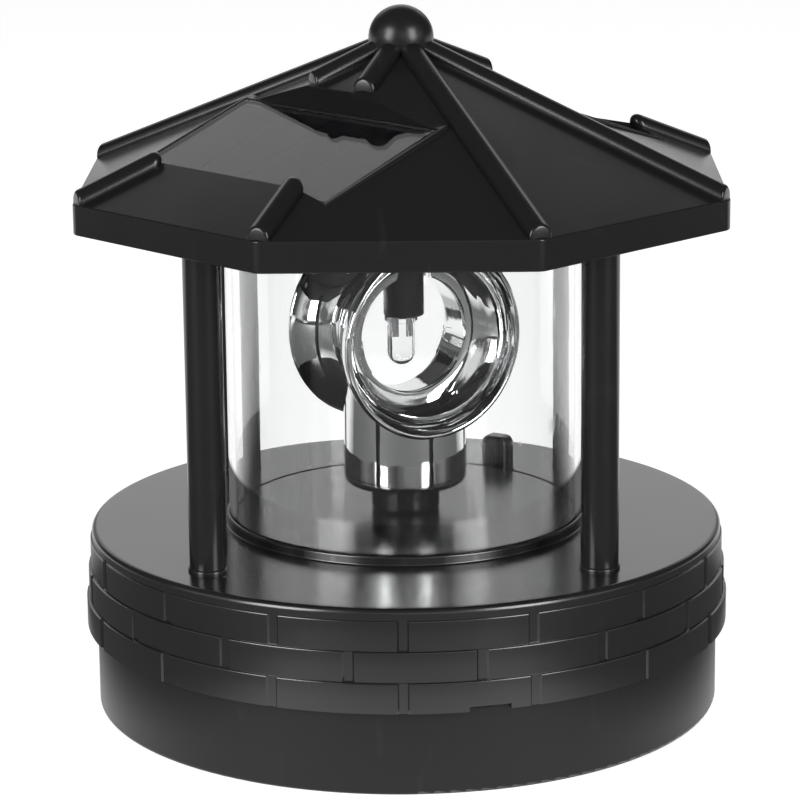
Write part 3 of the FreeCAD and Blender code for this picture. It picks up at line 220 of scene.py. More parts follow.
def minus(tree, a, b):
    return maths(tree, "SUBTRACT", a, b)


def larger(tree, a, b):
    return maths(tree, "MAXIMUM", a, b)


def object_spot(tree):
    return tree.nodes.new("ShaderNodeTexCoord").outputs["Object"]


def axes(tree, vector):
    return linked(tree, "ShaderNodeSeparateXYZ", {0: vector}).outputs


def place(tree, stretch=(1, 1, 1), turn=0.0):
    return linked(tree, "ShaderNodeMapping", {"Vector": object_spot(tree), "Rotation": (0, 0, turn),
                                              "Scale": stretch}).outputs["Vector"]


def noise_at(tree, vector, scale, detail):
    wires = {"Vector": vector, "Scale": scale, "Detail": detail}
    return linked(tree, "ShaderNodeTexNoise", wires).outputs["Fac"]


def noise(tree, scale, detail=2.0, stretch=(1, 1, 1)):
    return noise_at(tree, place(tree, stretch), scale, detail)


def spread(tree, value, low, high, to_low=0.0, to_high=1.0):
    node = linked(tree, "ShaderNodeMapRange", {"Value": value, "From Min": low, "From Max": high,
                                               "To Min": to_low, "To Max": to_high})
    return node.outputs["Result"]


def moulded_skin():
    """Fine grain of a mould's surface with uneven gloss."""
    group, given, out = new_group("moulded_skin", {"Grain Scale": 2600, "Roughness": 0.35,
                                                   "Unevenness": 0.12}, ["Height", "Roughness"])
    grain = noise(group, given.outputs["Grain Scale"], 3.0)
    flow = noise(group, 55, 3.0, (1, 1, 0.35))
    uneven = times(group, minus(group, flow, 0.5), given.outputs["Unevenness"])
    group.links.new(grain, out.inputs["Height"])
    group.links.new(plus(group, given.outputs["Roughness"], uneven), out.inputs["Roughness"])
    return group


def hairlines():
    """Short straight handling scratches in two directions."""
    group, given, out = new_group("hairlines", {"Scale": 500, "Amount": 0.5}, ["Mask"])
    layers = []
    for turn, stretch in ((0.5, (1, 0.03, 0.2)), (-0.9, (0.04, 1, 0.2))):
        field = noise_at(group, place(group, stretch, turn), given.outputs["Scale"], 1.0)
        layers.append(spread(group, field, 0.7, 0.78))
    both = larger(group, *layers)
    group.links.new(times(group, both, given.outputs["Amount"]), out.inputs["Mask"])
    return group


def settled_dust():
    """Faint specks and haze on faces that look up."""
    group, given, out = new_group("settled_dust", {"Amount": 0.1}, ["Mask"])
    specks = spread(group, noise(group, 900, 2.0), 0.68, 0.76)
    haze = spread(group, noise(group, 70, 4.0), 0.35, 0.8, 0.0, 0.35)
    up = axes(group, group.nodes.new("ShaderNodeNewGeometry").outputs["Normal"])["Z"]
    facing = spread(group, up, 0.2, 0.95)
    mask = times(group, larger(group, specks, haze), facing)
    group.links.new(times(group, mask, given.outputs["Amount"]), out.inputs["Mask"])
    return group


def soft_ripple():
    """Slow waviness of clear or plated mouldings."""
    group, given, out = new_group("soft_ripple", {"Scale": 110, "Streaks": 0.3}, ["Height"])
    broad = noise(group, given.outputs["Scale"], 1.5)
    streak = noise(group, given.outputs["Scale"], 3.0, (9, 9, 0.5))
    mix = plus(group, broad, times(group, streak, given.outputs["Streaks"]))
    group.links.new(mix, out.inputs["Height"])
    return group


def drawn_metal():
    """Fine lines of turned or drawn metal."""
    group, given, out = new_group("drawn_metal", {"Scale": 1500, "Roughness": 0.3},
                                  ["Height", "Roughness"])
    lines = noise(group, given.outputs["Scale"], 2.0, (1, 1, 0.04))
    group.links.new(lines, out.inputs["Height"])
    uneven = times(group, minus(group, lines, 0.5), 0.25)
    group.links.new(plus(group, given.outputs["Roughness"], uneven), out.inputs["Roughness"])
    return group


GROUPS = {}


def group_node(tree, maker, **values):
    if maker.__name__ not in GROUPS:
        GROUPS[maker.__name__] = maker()
    node = tree.nodes.new("ShaderNodeGroup")
    node.node_tree = GROUPS[maker.__name__]
    for key, value in values.items():
        node.inputs[key.replace("_", " ")].default_value = value
    return node


# --- finishes ---
def finish(name, sockets):
    """A new material; returns it with its node tree and its Principled shader."""
    material = bpy.data.materials.new(name)
    material.use_nodes = True
    shader = material.node_tree.nodes["Principled BSDF"]
    for socket, value in sockets.items():
        shader.inputs[socket].default_value = value
    return material, material.node_tree, shader


def bumped(tree, shader, height, depth):
    """Depth in metres between the height field's lowest and highest places."""
    bump = linked(tree, "ShaderNodeBump", {"Height": height, "Distance": depth, "Strength": 1.0})
    tree.links.new(bump.outputs["Normal"], shader.inputs["Normal"])


def tinted(tree, shader, base, other, mask):
    mix = linked(tree, "ShaderNodeMix", {"Factor": mask, "A": (*base, 1), "B": (*other, 1)},
                 data_type="RGBA")
    tree.links.new(mix.outputs["Result"], shader.inputs["Base Color"])


def shaded(tree, shader, base, shade, mask):
    tinted(tree, shader, base, tuple(shade * c for c in base), mask)


def black_plastic(name, roughness, specular, grain_depth, dust=0.0, scratches=0.2, unevenness=0.08,
                  satin_from=None):
    """Glossy or satin moulding; above the height satin_from it is more satin."""
    worn, worn_pale, worn_rough = (0.3, 0.3, 0.29), 0.06, 0.15
    material, tree, shader = finish(name, {"Specular IOR Level": specular})
    skin = group_node(tree, moulded_skin, Grain_Scale=2600, Roughness=roughness, Unevenness=unevenness)
    scratch = group_node(tree, hairlines, Scale=500, Amount=scratches).outputs["Mask"]
    powder = group_node(tree, settled_dust, Amount=dust).outputs["Mask"]
    pale = plus(tree, times(tree, scratch, worn_pale), powder)
    tinted(tree, shader, tuple(chosen("finish").plastic), worn, pale)
    rough = plus(tree, skin.outputs["Roughness"], times(tree, scratch, worn_rough))
    if satin_from:
        height = axes(tree, object_spot(tree))["Z"]
        rough = plus(tree, rough, spread(tree, height, satin_from, satin_from + MM, 0.0, 0.07))
    tree.links.new(rough, shader.inputs["Roughness"])
    bumped(tree, shader, skin.outputs["Height"], grain_depth * MM)
    return material


def bright_coat():
    material, tree, shader = finish("bright_metallised_coat", {"Metallic": 1.0})
    ripple = group_node(tree, soft_ripple, Scale=170, Streaks=0.15)
    scratch = group_node(tree, hairlines, Scale=700, Amount=0.3).outputs["Mask"]
    tinted(tree, shader, tuple(chosen("finish").metal), (0.7, 0.7, 0.71), scratch)
    tree.links.new(spread(tree, scratch, 0.0, 1.0, 0.035, 0.3), shader.inputs["Roughness"])
    bumped(tree, shader, ripple.outputs["Height"], 0.05 * MM)
    return material


def clear_plastic(name, ior=1.49, ripple_depth=0.012, scratches=0.3):
    material, tree, shader = finish(name, {"Base Color": (*chosen("finish").clear, 1), "IOR": ior,
                                           "Transmission Weight": 1.0})
    ripple = group_node(tree, soft_ripple, Scale=60, Streaks=0.25)
    scratch = group_node(tree, hairlines, Scale=600, Amount=scratches).outputs["Mask"]
    tree.links.new(spread(tree, scratch, 0.0, 1.0, 0.008, 0.3), shader.inputs["Roughness"])
    bumped(tree, shader, ripple.outputs["Height"], ripple_depth * MM)
    return material


def solar_cell():
    """Dark silicon with faint fingers across each strip and a slow change of tone."""
    material, tree, shader = finish("solar_cell", {"Specular IOR Level": 0.0})
    pitch = 2.2 * MM
    spot = axes(tree, object_spot(tree))
    across = minus(tree, spot["X"], spot["Y"])
    wave = maths(tree, "FRACT", times(tree, across, 1 / pitch))
    finger = spread(tree, wave, 0.05, 0.07, 0.12, 0.0)
    flakes = spread(tree, noise(tree, 160, 1.0), 0.4, 0.6, 0.0, 0.04)
    pale = plus(tree, finger, flakes)
    tinted(tree, shader, tuple(chosen("finish").cell), (0.12, 0.12, 0.13), pale)
    tree.links.new(spread(tree, flakes, 0.0, 0.04, 0.3, 0.36), shader.inputs["Roughness"])
    return material


def metal(name, base, roughness, scale=1500):
    material, tree, shader = finish(name, {"Metallic": 1.0})
    lines = group_node(tree, drawn_metal, Scale=scale, Roughness=roughness)
    shaded(tree, shader, base, 0.7, spread(tree, noise(tree, 300, 3.0), 0.45, 0.8))
    tree.links.new(lines.outputs["Roughness"], shader.inputs["Roughness"])
    bumped(tree, shader, lines.outputs["Height"], 0.004 * MM)
    return material


def inner_plastic(name, base, roughness, shade=0.75, grain_depth=0.006):
    material, tree, shader = finish(name, {"Specular IOR Level": 0.5})
    skin = group_node(tree, moulded_skin, Grain_Scale=3000, Roughness=roughness, Unevenness=0.1)
    shaded(tree, shader, base, shade, spread(tree, noise(tree, 150, 3.0), 0.4, 0.75))
    tree.links.new(skin.outputs["Roughness"], shader.inputs["Roughness"])
    bumped(tree, shader, skin.outputs["Height"], grain_depth * MM)
    return material


def circuit_laminate():
    """Green laminate with copper tracks under the lacquer."""
    material, tree, shader = finish("circuit_laminate", {"Specular IOR Level": 0.5, "Roughness": 0.3})
    cells = linked(tree, "ShaderNodeTexVoronoi", {"Vector": place(tree), "Scale": 420},
                   feature="DISTANCE_TO_EDGE")
    track = spread(tree, cells.outputs["Distance"], 0.03, 0.05, 1.0, 0.0)
    tinted(tree, shader, (0.012, 0.11, 0.045), (0.03, 0.2, 0.09), track)
    bumped(tree, shader, track, 0.03 * MM)
    return material


FINISHES = {}


def make_finishes():
    FINISHES.update({
        "roof": black_plastic("black_roof_plastic", 0.21, 0.42, 0.006, satin_from=114 * MM),
        "deck": black_plastic("black_deck_plastic", 0.22, 0.75, 0.003, 0.006, 0.1, 0.05),
        "base": black_plastic("black_base_plastic", 0.32, 0.28, 0.014),
        "post": black_plastic("black_post_plastic", 0.2, 0.5, 0.004),
        "spindle": black_plastic("black_spindle_plastic", 0.25, 0.4, 0.004),
        "button": black_plastic("black_button_plastic", 0.14, 0.5, 0.003),
        "holder": black_plastic("black_holder_plastic", 0.35, 0.4, 0.006),
        "bright": bright_coat(),
        "cylinder": clear_plastic("clear_cylinder_plastic"),
        "epoxy": clear_plastic("clear_lamp_epoxy", 1.53, 0.02, 0.1),
        "resin": clear_plastic("clear_panel_resin", 1.2, 0.004, 0.15),
        "cell": solar_cell(),
        "laminate": inner_plastic("dark_panel_laminate", (0.012, 0.0125, 0.014), 0.5),
        "screw": metal("zinc_plated_steel", (0.55, 0.55, 0.56), 0.34),
        "brass": metal("turned_brass", (0.75, 0.55, 0.25), 0.3),
        "steel": metal("bright_steel", (0.68, 0.68, 0.69), 0.22),
        "can": metal("drawn_motor_can", (0.6, 0.6, 0.6), 0.3, 900),
        "nylon": inner_plastic("natural_nylon", (0.78, 0.76, 0.7), 0.45, 0.9),
        "dark": inner_plastic("dark_inner_plastic", (0.05, 0.05, 0.052), 0.45),
        "grey": inner_plastic("grey_inner_plastic", (0.42, 0.42, 0.41), 0.5, 0.9),
        "sleeve": inner_plastic("green_battery_sleeve", (0.06, 0.22, 0.1), 0.25, 0.85, 0.002),
        "chip": inner_plastic("black_component_plastic", (0.02, 0.02, 0.022), 0.5),
        "circuit": circuit_laminate(),
        "red_wire": inner_plastic("red_wire_insulation", (0.45, 0.025, 0.02), 0.35, 0.8, 0.003),
        "grey_wire": inner_plastic("grey_wire_insulation", (0.2, 0.2, 0.21), 0.35, 0.8, 0.003),
    })


NODE_FINISHES = {"black_plastic": "base", "spindle_plastic": "spindle", "button_plastic": "button",
                 "lamp_holder_plastic": "holder", "clear_plastic": "cylinder", "lamp_epoxy": "epoxy",
                 "bright_reflector": "bright", "panel_resin": "resin", "panel_board": "laminate",
                 "solar_cell": "cell", "steel_screws": "screw", "bush_brass": "brass",
                 "gear_nylon": "nylon", "bright_steel": "steel", "motor_steel": "can",
                 "motor_cap_plastic": "dark", "gear_plate_plastic": "grey", "circuit_board": "circuit",
                 "board_parts": "chip", "battery_sleeve": "sleeve", "wire_red": "red_wire",
                 "wire_grey": "grey_wire"}


# --- mesh tools ---
def polar(out, bearing, z=0.0):
    """A point at a distance from the axis and a bearing in radians."""
    return Vector((out * math.sin(bearing), -out * math.cos(bearing), z))


def arc(centre, radius, start, end, steps):
    """(radius, height) points along an arc; angles in degrees from the outward direction."""
    angles = [math.radians(start + (end - start) * i / steps) for i in range(steps + 1)]
    return [(centre[0] + radius * math.cos(a), centre[1] + radius * math.sin(a)) for a in angles]


def rise(a, b, steps):
    """Points from a to b, both ends included."""
    return [tuple(a[k] + (b[k] - a[k]) * i / steps for k in (0, 1)) for i in range(steps + 1)]


def bridge(bm, rings):
    """Faces between neighbouring rings of vertices, and from the last ring to the first."""
    for a, b in zip(rings, rings[1:] + rings[:1]):
        if len(a) == 1 and len(b) == 1:
            continue
        count = max(len(a), len(b))
        for i in range(count):
            j = (i + 1) % count
            corners = (a[i % len(a)], a[j % len(a)], b[j % len(b)], b[i % len(b)])
            bm.faces.new(list(dict.fromkeys(corners)))


def lathe(bm, outline, where=Matrix(), segments=SEGMENTS):
    """Turns a closed (radius, height) outline about Z; points on the axis become single vertices."""
    rings = []
    for r, z in outline:
        if r <= 0:
            rings.append([bm.verts.new(where @ Vector((0, 0, z)))])
            continue
        turns = (2 * math.pi * i / segments for i in range(segments))
        rings.append([bm.verts.new(where @ polar(r, t, z)) for t in turns])
    bridge(bm, rings)


def turned(outline, where=Matrix(), segments=SEGMENTS):
    bm = bmesh.new()
    lathe(bm, outline, where, segments)
    return bm


def prism(bm, plan, levels, where=Matrix()):
    """Closed solid through copies of an outline; levels are (inset, height)."""
    rings = [[bm.verts.new(where @ Vector((x, y, z))) for x, y in plan(inset)] for inset, z in levels]
    for a, b in zip(rings, rings[1:]):
        for i in range(len(a)):
            j = (i + 1) % len(a)
            bm.faces.new((a[i], a[j], b[j], b[i]))
    bm.faces.new(rings[0])
    bm.faces.new(rings[-1])


def rounded_plan(width, depth, radius, steps=5):
    """Outline maker for a rectangle with rounded corners, drawn in by an inset."""
    def plan(inset):
        r = max(radius - inset, 0.02 * MM)
        points = []
        for quarter, (sx, sy) in enumerate(((1, 1), (-1, 1), (-1, -1), (1, -1))):
            cx = sx * (width / 2 - inset - r)
            cy = sy * (depth / 2 - inset - r)
            for i in range(steps + 1):
                a = math.radians(90 * (quarter + i / steps))
                points.append((cx + r * math.cos(a), cy + r * math.sin(a)))
        return points
    return plan


def box(bm, low, high, where=Matrix()):
    middle = [(a + b) / 2 for a, b in zip(low, high)]
    size = [b - a for a, b in zip(low, high)]
    made = bmesh.ops.create_cube(bm, size=1.0)["verts"]
    for v in made:
        v.co = where @ Vector([m + s * c for m, s, c in zip(middle, size, v.co)])


def scratch_object(bm):
    bmesh.ops.recalc_face_normals(bm, faces=bm.faces)
    mesh = bpy.data.meshes.new("scratch")
    bm.to_mesh(mesh)
    bm.free()
    obj = bpy.data.objects.new("scratch", mesh)
    bpy.context.collection.objects.link(obj)
    return obj


def carved(bm, steps):
    """The solid after a list of (operation, other solid) steps."""
    base = scratch_object(bm)
    others = []
    for operation, other in steps:
        others.append(scratch_object(other))
        modifier = base.modifiers.new(operation, "BOOLEAN")
        modifier.operation = operation
        modifier.solver = "EXACT"
        modifier.object = others[-1]
    graph = bpy.context.evaluated_depsgraph_get()
    shaped = bpy.data.meshes.new_from_object(base.evaluated_get(graph))
    result = bmesh.new()
    result.from_mesh(shaped)
    bpy.data.meshes.remove(shaped)
    for obj in others + [base]:
        mesh = obj.data
        bpy.data.objects.remove(obj)
        bpy.data.meshes.remove(mesh)
    return result


def ease_edges(bm, width, segments=2, least=math.radians(40)):
    edges = [e for e in bm.edges if len(e.link_faces) == 2 and e.calc_face_angle(0) > least]
    bmesh.ops.bevel(bm, geom=edges, offset=width, segments=segments, profile=0.5, affect="EDGES",
                    clamp_overlap=True)


def make_piece(name, bm, look, body, slot, *replaced):
    """Turns a bmesh into a finished, smooth-shaded piece that rides on a body."""
    bmesh.ops.recalc_face_normals(bm, faces=bm.faces)
    mesh = bpy.data.meshes.new(name)
    bm.to_mesh(mesh)
    bm.free()
    mesh.polygons.foreach_set("use_smooth", [True] * len(mesh.polygons))
    mesh.set_sharp_from_angle(angle=SHARP)
    mesh.materials.append(FINISHES[look])
    obj = bpy.data.objects.new(name, mesh)
    bpy.context.collection.objects.link(obj)
    shading = obj.modifiers.new("even_shading", "WEIGHTED_NORMAL")
    shading.keep_sharp = True
    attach(obj, body)
    if replaced:
        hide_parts(*replaced)
    return obj


# --- roof ---
def panel_place(bearing):
    """From the panel's own axes (Y up the slope, top face at Z = 0) to the roof."""
    panel = chosen("panels")
    return (Matrix.Rotation(math.radians(bearing), 4, "Z")
            @ Matrix.Translation((0, -panel.out, panel.height))
            @ Matrix.Rotation(panel.slope, 4, "X"))


def octagon_plan(apothem, corner_r, tip):
    """Outline maker for an octagon whose sides face bearings 0, 45 and so on, drawn in by an inset;
    its rounded corners sharpen towards the tip."""
    steps, least = 4, 0.1 * MM

    def plan(inset):
        near = apothem - inset
        share = min(max((near - tip) / (apothem - tip), 0.0), 1.0)
        r = least + (corner_r - least) * share
        points = []
        for side in range(SIDES):
            middle = (2 * side + 1) * HALF_SIDE
            hub = polar((near - r) / math.cos(HALF_SIDE), middle)
            for i in range(steps + 1):
                points.append((hub + polar(r, middle + HALF_SIDE * (2 * i / steps - 1))).xy)
        return points
    return plan


def roof_forms():
    """The roof's closed outer form, and the hollow under it."""
    roof = chosen("roof")
    apothem = roof.eave_r * math.cos(HALF_SIDE)
    steep = roof.rise / apothem
    fascia_top = EAVE_Z + roof.fascia_h
    peak = fascia_top + roof.rise
    ease, tip, side_wall = 0.35 * MM, 3.0 * MM, 1.8 * MM
    drop = roof.wall * math.hypot(1, steep)
    lean = math.degrees(math.atan(steep))
    shoulder = fascia_top - ease * math.tan(math.radians(45 - lean / 2))
    levels = [(ease - r, EAVE_Z + ease + z) for r, z in arc((0, 0), ease, -90, 0, 3)]
    levels += [(ease - r, shoulder + z) for r, z in arc((0, 0), ease, 0, 90 - lean, 4)]
    levels.append((apothem - tip, peak - steep * tip))
    plan = octagon_plan(apothem, roof.corner_r, tip)
    outer, hollow = bmesh.new(), bmesh.new()
    prism(outer, plan, levels)
    prism(hollow, plan, [(side_wall, EAVE_Z - MM),
                         (side_wall, peak - drop - steep * (apothem - side_wall)),
                         (apothem - tip, peak - drop - steep * tip)])
    return outer, hollow


def rib_bar(bm, bearing, start, end, round_start):
    """Ridge rib, half sunk, between two distances from the axis; its sections stand upright."""
    roof = chosen("roof")
    peak = EAVE_Z + roof.fascia_h + roof.rise
    a, b = (polar(out, bearing, peak - roof.rise * out / roof.eave_r) for out in (start, end))
    run, r, blunt = (b - a).length, roof.rib_r, 0.5 * MM
    first = r if round_start else blunt
    outline = [(0, 0)] + arc((r - first, first), first, -85, 0, 8)
    outline += rise((r, first), (r, run - blunt), 8)[1:-1]
    outline += arc((r - blunt, run - blunt), blunt, 0, 88, 5) + [(0, run)]
    across = Vector((math.cos(bearing), math.sin(bearing), 0))
    turn = Matrix((across, (0, 0, 1), (b - a).normalized())).transposed().to_4x4()
    lathe(bm, outline, Matrix.Translation(a) @ turn, 40)


def build_roof():
    roof, panel = chosen("roof"), chosen("panels")
    gap, rim, back, floor = 0.15 * MM, 0.6 * MM, 1.6 * MM, 1.4 * MM
    half_w = panel.width / 2 + gap
    half_d = panel.depth / 2 + gap
    trays, keeps, pockets = [], [], []
    for bearing in PANEL_BEARINGS.values():
        spot = panel_place(bearing)
        low = (-half_w - rim, -half_d - rim, -panel.thickness - floor)
        for boxes, top in ((trays, 0), (keeps, roof.rise)):
            boxes.append(bmesh.new())
            box(boxes[-1], low, (half_w + rim, half_d + back, top), spot)
        pockets.append(bmesh.new())
        box(pockets[-1], (-half_w, -half_d, -panel.thickness), (half_w, half_d, roof.rise), spot)
    outer, hollow = roof_forms()
    hollow = carved(hollow, [("DIFFERENCE", keep) for keep in keeps])
    solid = carved(outer, [("UNION", tray) for tray in trays] + [("DIFFERENCE", hollow)]
                   + [("DIFFERENCE", pocket) for pocket in pockets])
    ease_edges(solid, 0.18 * MM)
    slant = math.cos(panel.slope)
    upper = (panel.out - panel.depth / 2 * slant) / math.cos(HALF_SIDE) + 0.3 * MM
    lower = (panel.out + panel.depth / 2 * slant) / math.cos(HALF_SIDE)
    first, last = 3.5 * MM, roof.eave_r - 0.7 * MM
    for side in range(SIDES):
        bearing = (2 * side + 1) * HALF_SIDE
        aside = [abs((math.degrees(bearing) - b + 180) % 360 - 180) for b in PANEL_BEARINGS.values()]
        spans = [(first, upper), (lower, last)] if min(aside) < 360 / SIDES else [(first, last)]
        for start, end in spans:
            rib_bar(solid, bearing, start, end, start == lower)
    peak = EAVE_Z + roof.fascia_h + roof.rise
    ball = [(0, -roof.ball_r)] + arc((0, 0), roof.ball_r, -86, 86, 42) + [(0, roof.ball_r)]
    lathe(solid, ball, Matrix.Translation((0, 0, peak)), 96)
    make_piece("roof_moulding", solid, "roof", "housing", "black_plastic", "roof_shell")


def build_panels():
    """Clear resin tops over the cells."""
    panel = chosen("panels")
    under, edge = -0.9 * MM + HIDDEN_GAP, 0.25 * MM
    levels = [(0, under), (0, -edge), (0.3 * edge, -0.3 * edge), (edge, 0)]
    for side, bearing in PANEL_BEARINGS.items():
        bm = bmesh.new()
        prism(bm, rounded_plan(panel.width, panel.depth, 0.4 * MM, 3), levels, panel_place(bearing))
        make_piece(f"{side}_panel_top", bm, "resin", "housing", "panel_resin",
                   f"{side}_panel_resin")


# --- deck ---
COURSE_SHIFT = math.radians(13.3)     # bearing of the middle course's first joint


def joint_depth_at(bearing, course, half_width, ease):
    """Share of the full joint depth at a bearing: 1 in a joint, 0 on a brick."""
    pitch = 2 * math.pi / chosen("deck").bricks
    shift = COURSE_SHIFT if course % 2 else 0.0
    off = abs((bearing - shift + pitch / 2) % pitch - pitch / 2)
    share = (half_width + ease - off) / (2 * ease)
    return min(max(share, 0.0), 1.0)


def joint_columns(half_width, ease):
    """Bearings of the band's columns: both sides of every joint, and steps of about two degrees."""
    bricks = chosen("deck").bricks
    pitch = 2 * math.pi / bricks
    columns = set()
    for i in range(bricks):
        for shift in (0.0, COURSE_SHIFT):
            for off in (-half_width - ease, -half_width + ease, 0, half_width - ease,
                        half_width + ease):
                columns.add(round((i * pitch + shift + off) % (2 * math.pi), 9))
    ordered = sorted(columns)
    filled = []
    for a, b in zip(ordered, ordered[1:] + [ordered[0] + 2 * math.pi]):
        count = max(1, round((b - a) / math.radians(1.8)))
        filled += [a + (b - a) * k / count for k in range(count)]
    return filled


def band_rows():
    """(radius, height, course) rows from the lip down to the band's underside."""
    deck = chosen("deck")
    top, ease = DECK_Z - LIP_H, 0.28 * MM
    rows = []
    for course in range(COURSES):
        r = deck.course_r + course * deck.course_step
        z = top - course * COURSE_H
        rows += [(r - ease, z, course), (r - 0.3 * ease, z - 0.3 * ease, course),
                 (r, z - ease, course), (r, z - COURSE_H / 2, course), (r, z - COURSE_H, course)]
    return rows


def post_place(bearing):
    return Matrix.Translation(polar(POST_CIRCLE_R, math.radians(bearing)))


def build_deck():
    deck = chosen("deck")
    joint = 0.5 * deck.joint_w / deck.course_r
    ease = 0.14 * MM / deck.course_r
    bush_r, seat, plate = 4.05 * MM, 0.05 * MM, 2.0 * MM
    under = DECK_Z - LIP_H
    groove_in, groove_out = GLASS_R - GLASS_WALL - seat, GLASS_R + seat
    groove_z = PLINTH_TOP - 0.8 * MM
    plinth_r, plinth_edge, foot = GLASS_R + 0.5 * MM, 0.4 * MM, 0.3 * MM
    recess_r = GLASS_R - GLASS_WALL - plate
    lip_edge = 1.0 * MM
    inner_r = 54.4 * MM
    plain = [(bush_r, PLINTH_TOP - plate), (bush_r, PLINTH_TOP), (groove_in, PLINTH_TOP),
             (groove_in, groove_z), (groove_out, groove_z)]
    plain += arc((plinth_r - plinth_edge, PLINTH_TOP - plinth_edge), plinth_edge, 90, 0, 6)
    plain += arc((plinth_r + foot, DECK_Z + foot), foot, 180, 270, 4)
    plain += [(plinth_r + 3 * MM, DECK_Z), (deck.lip_r - 3 * MM, DECK_Z)]
    plain += arc((deck.lip_r - lip_edge, DECK_Z - lip_edge), lip_edge, 90, 0, 7)
    plain.append((deck.lip_r, under + 0.2 * MM))
    rows = [(r, z, None) for r, z in plain] + band_rows()
    rows += [(r, z, None) for r, z in ((inner_r, SKIRT_Z), (inner_r, under), (recess_r, under),
                                       (recess_r, PLINTH_TOP - plate))]
    columns = joint_columns(joint, ease)
    bm = bmesh.new()
    rings = []
    for r, z, course in rows:
        ring = []
        for bearing in columns:
            out = r
            if course is not None:
                face = deck.course_r + course * deck.course_step
                share = joint_depth_at(bearing, course, joint, ease)
                out = min(r, face - deck.joint_depth * share)
            ring.append(bm.verts.new(polar(out, bearing, z)))
        rings.append(ring)
    bridge(bm, rings)
    notch = bmesh.new()
    box(notch, (-3.6 * MM, -60 * MM, SKIRT_Z - MM), (3.6 * MM, -55.4 * MM, SKIRT_Z + 0.9 * MM),
        Matrix.Rotation(math.radians(14.5), 4, "Z"))
    slot, gap = bmesh.new(), 0.3 * MM
    prism(slot, rounded_plan(BUTTON_W + 2 * gap, BUTTON_D + 2 * gap, BUTTON_CORNER + gap),
          [(0, under - MM), (0, DECK_Z + MM)], button_place())
    cuts = [notch, slot]
    socket_r, socket_low = SPIGOT_R + seat, DECK_Z - 1.65 * MM
    for bearing in POST_BEARINGS.values():
        outline = [(0, socket_low), (socket_r, socket_low), (socket_r, DECK_Z + MM), (0, DECK_Z + MM)]
        cuts.append(turned(outline, post_place(bearing), 48))
    solid = carved(bm, [("DIFFERENCE", cut) for cut in cuts])
    make_piece("brick_banded_deck", solid, "deck", "housing", "black_plastic",
               "deck_housing")


# --- posts and cylinder ---
def build_posts():
    shaft, foot, spigot = 3.25 * MM, 3.5 * MM, SPIGOT_R
    foot_h, sink = 0.6 * MM, 1.55 * MM
    for side, bearing in POST_BEARINGS.items():
        outline = [(0, DECK_Z - sink), (spigot, DECK_Z - sink), (spigot, DECK_Z), (foot, DECK_Z)]
        outline += arc((shaft, DECK_Z + foot_h - (foot - shaft)), foot - shaft, 0, 60, 3)
        outline += rise((shaft, DECK_Z + foot_h + 0.1 * MM), (shaft, CEILING_Z), 12)
        outline += [(spigot, CEILING_Z), (spigot, CEILING_TOP), (0, CEILING_TOP)]
        make_piece(f"{side}_post", turned(outline, post_place(bearing), 64), "post", "housing",
                   "black_plastic", f"post_{side}")


def build_cylinder():
    inner, edge = GLASS_R - GLASS_WALL, SMALL_EDGE
    outline = [(inner + edge, GLASS_LOW), (GLASS_R - edge, GLASS_LOW)]
    outline += rise((GLASS_R, GLASS_LOW + edge), (GLASS_R, GLASS_HIGH - edge), 10)
    outline += [(GLASS_R - edge, GLASS_HIGH), (inner + edge, GLASS_HIGH)]
    outline += rise((inner, GLASS_HIGH - edge), (inner, GLASS_LOW + edge), 10)
    bm = turned(outline, segments=256)
    make_piece("clear_tube", bm, "cylinder", "housing", "clear_plastic", "clear_cylinder")


# --- reflector ---
def bowl_face(offset):
    """(radius, reach) points of a bowl's face from the throat to the rim, moved out by an offset."""
    bowl = chosen("reflector")
    wall, throat_l, step = 1.0 * MM, 3.6 * MM, 0.16 * MM
    deep = bowl.reach - throat_l + offset
    high = bowl.rim_r - wall - bowl.throat_r + offset
    points = []
    for i in range(33):
        a = math.radians(90) * i / 32
        r = bowl.throat_r + high * math.sin(a)
        if r < bowl.throat_r + offset:
            continue
        ledge = step if a > math.radians(33) else 0.0
        points.append((r + (ledge if not offset else 0.0), bowl.reach - deep * math.cos(a)))
    return points


def bowl_shell_outline():
    """Closed section of both bowls: throat, faces, rolled rims and backs."""
    bowl = chosen("reflector")
    wall = 1.0 * MM
    roll = 0.55 * MM
    face = bowl_face(0.0)
    back = bowl_face(wall)
    lip = [(bowl.throat_r + 0.25 * MM, 3.1 * MM), (bowl.throat_r, 2.7 * MM)]
    rim = [(bowl.rim_r - roll + r, bowl.reach - roll + z) for r, z in arc((0, 0), roll, 150, -60, 10)]
    inner = [(bowl.throat_r, 0)] + lip[::-1] + face[1:-1]
    outer = [p for p in reversed(back) if p[1] < bowl.reach - 2 * roll]
    outer.append((bowl.throat_r + wall, outer[-1][1] - 0.2 * MM))
    half = inner + rim + outer
    mirrored = [(r, -z) for r, z in reversed(half[1:])]
    return half + [(bowl.throat_r + wall, 0)] + mirrored


def bowl_hollow_outline():
    """Closed section of the space inside both bowls, running on past their rims."""
    bowl = chosen("reflector")
    face = bowl_face(0.0)
    past = [(face[-1][0], 2 * bowl.reach), (0, 2 * bowl.reach)]
    half = [(bowl.throat_r, 0)] + face + past
    return half + [(r, -z) for r, z in reversed(half[1:])]


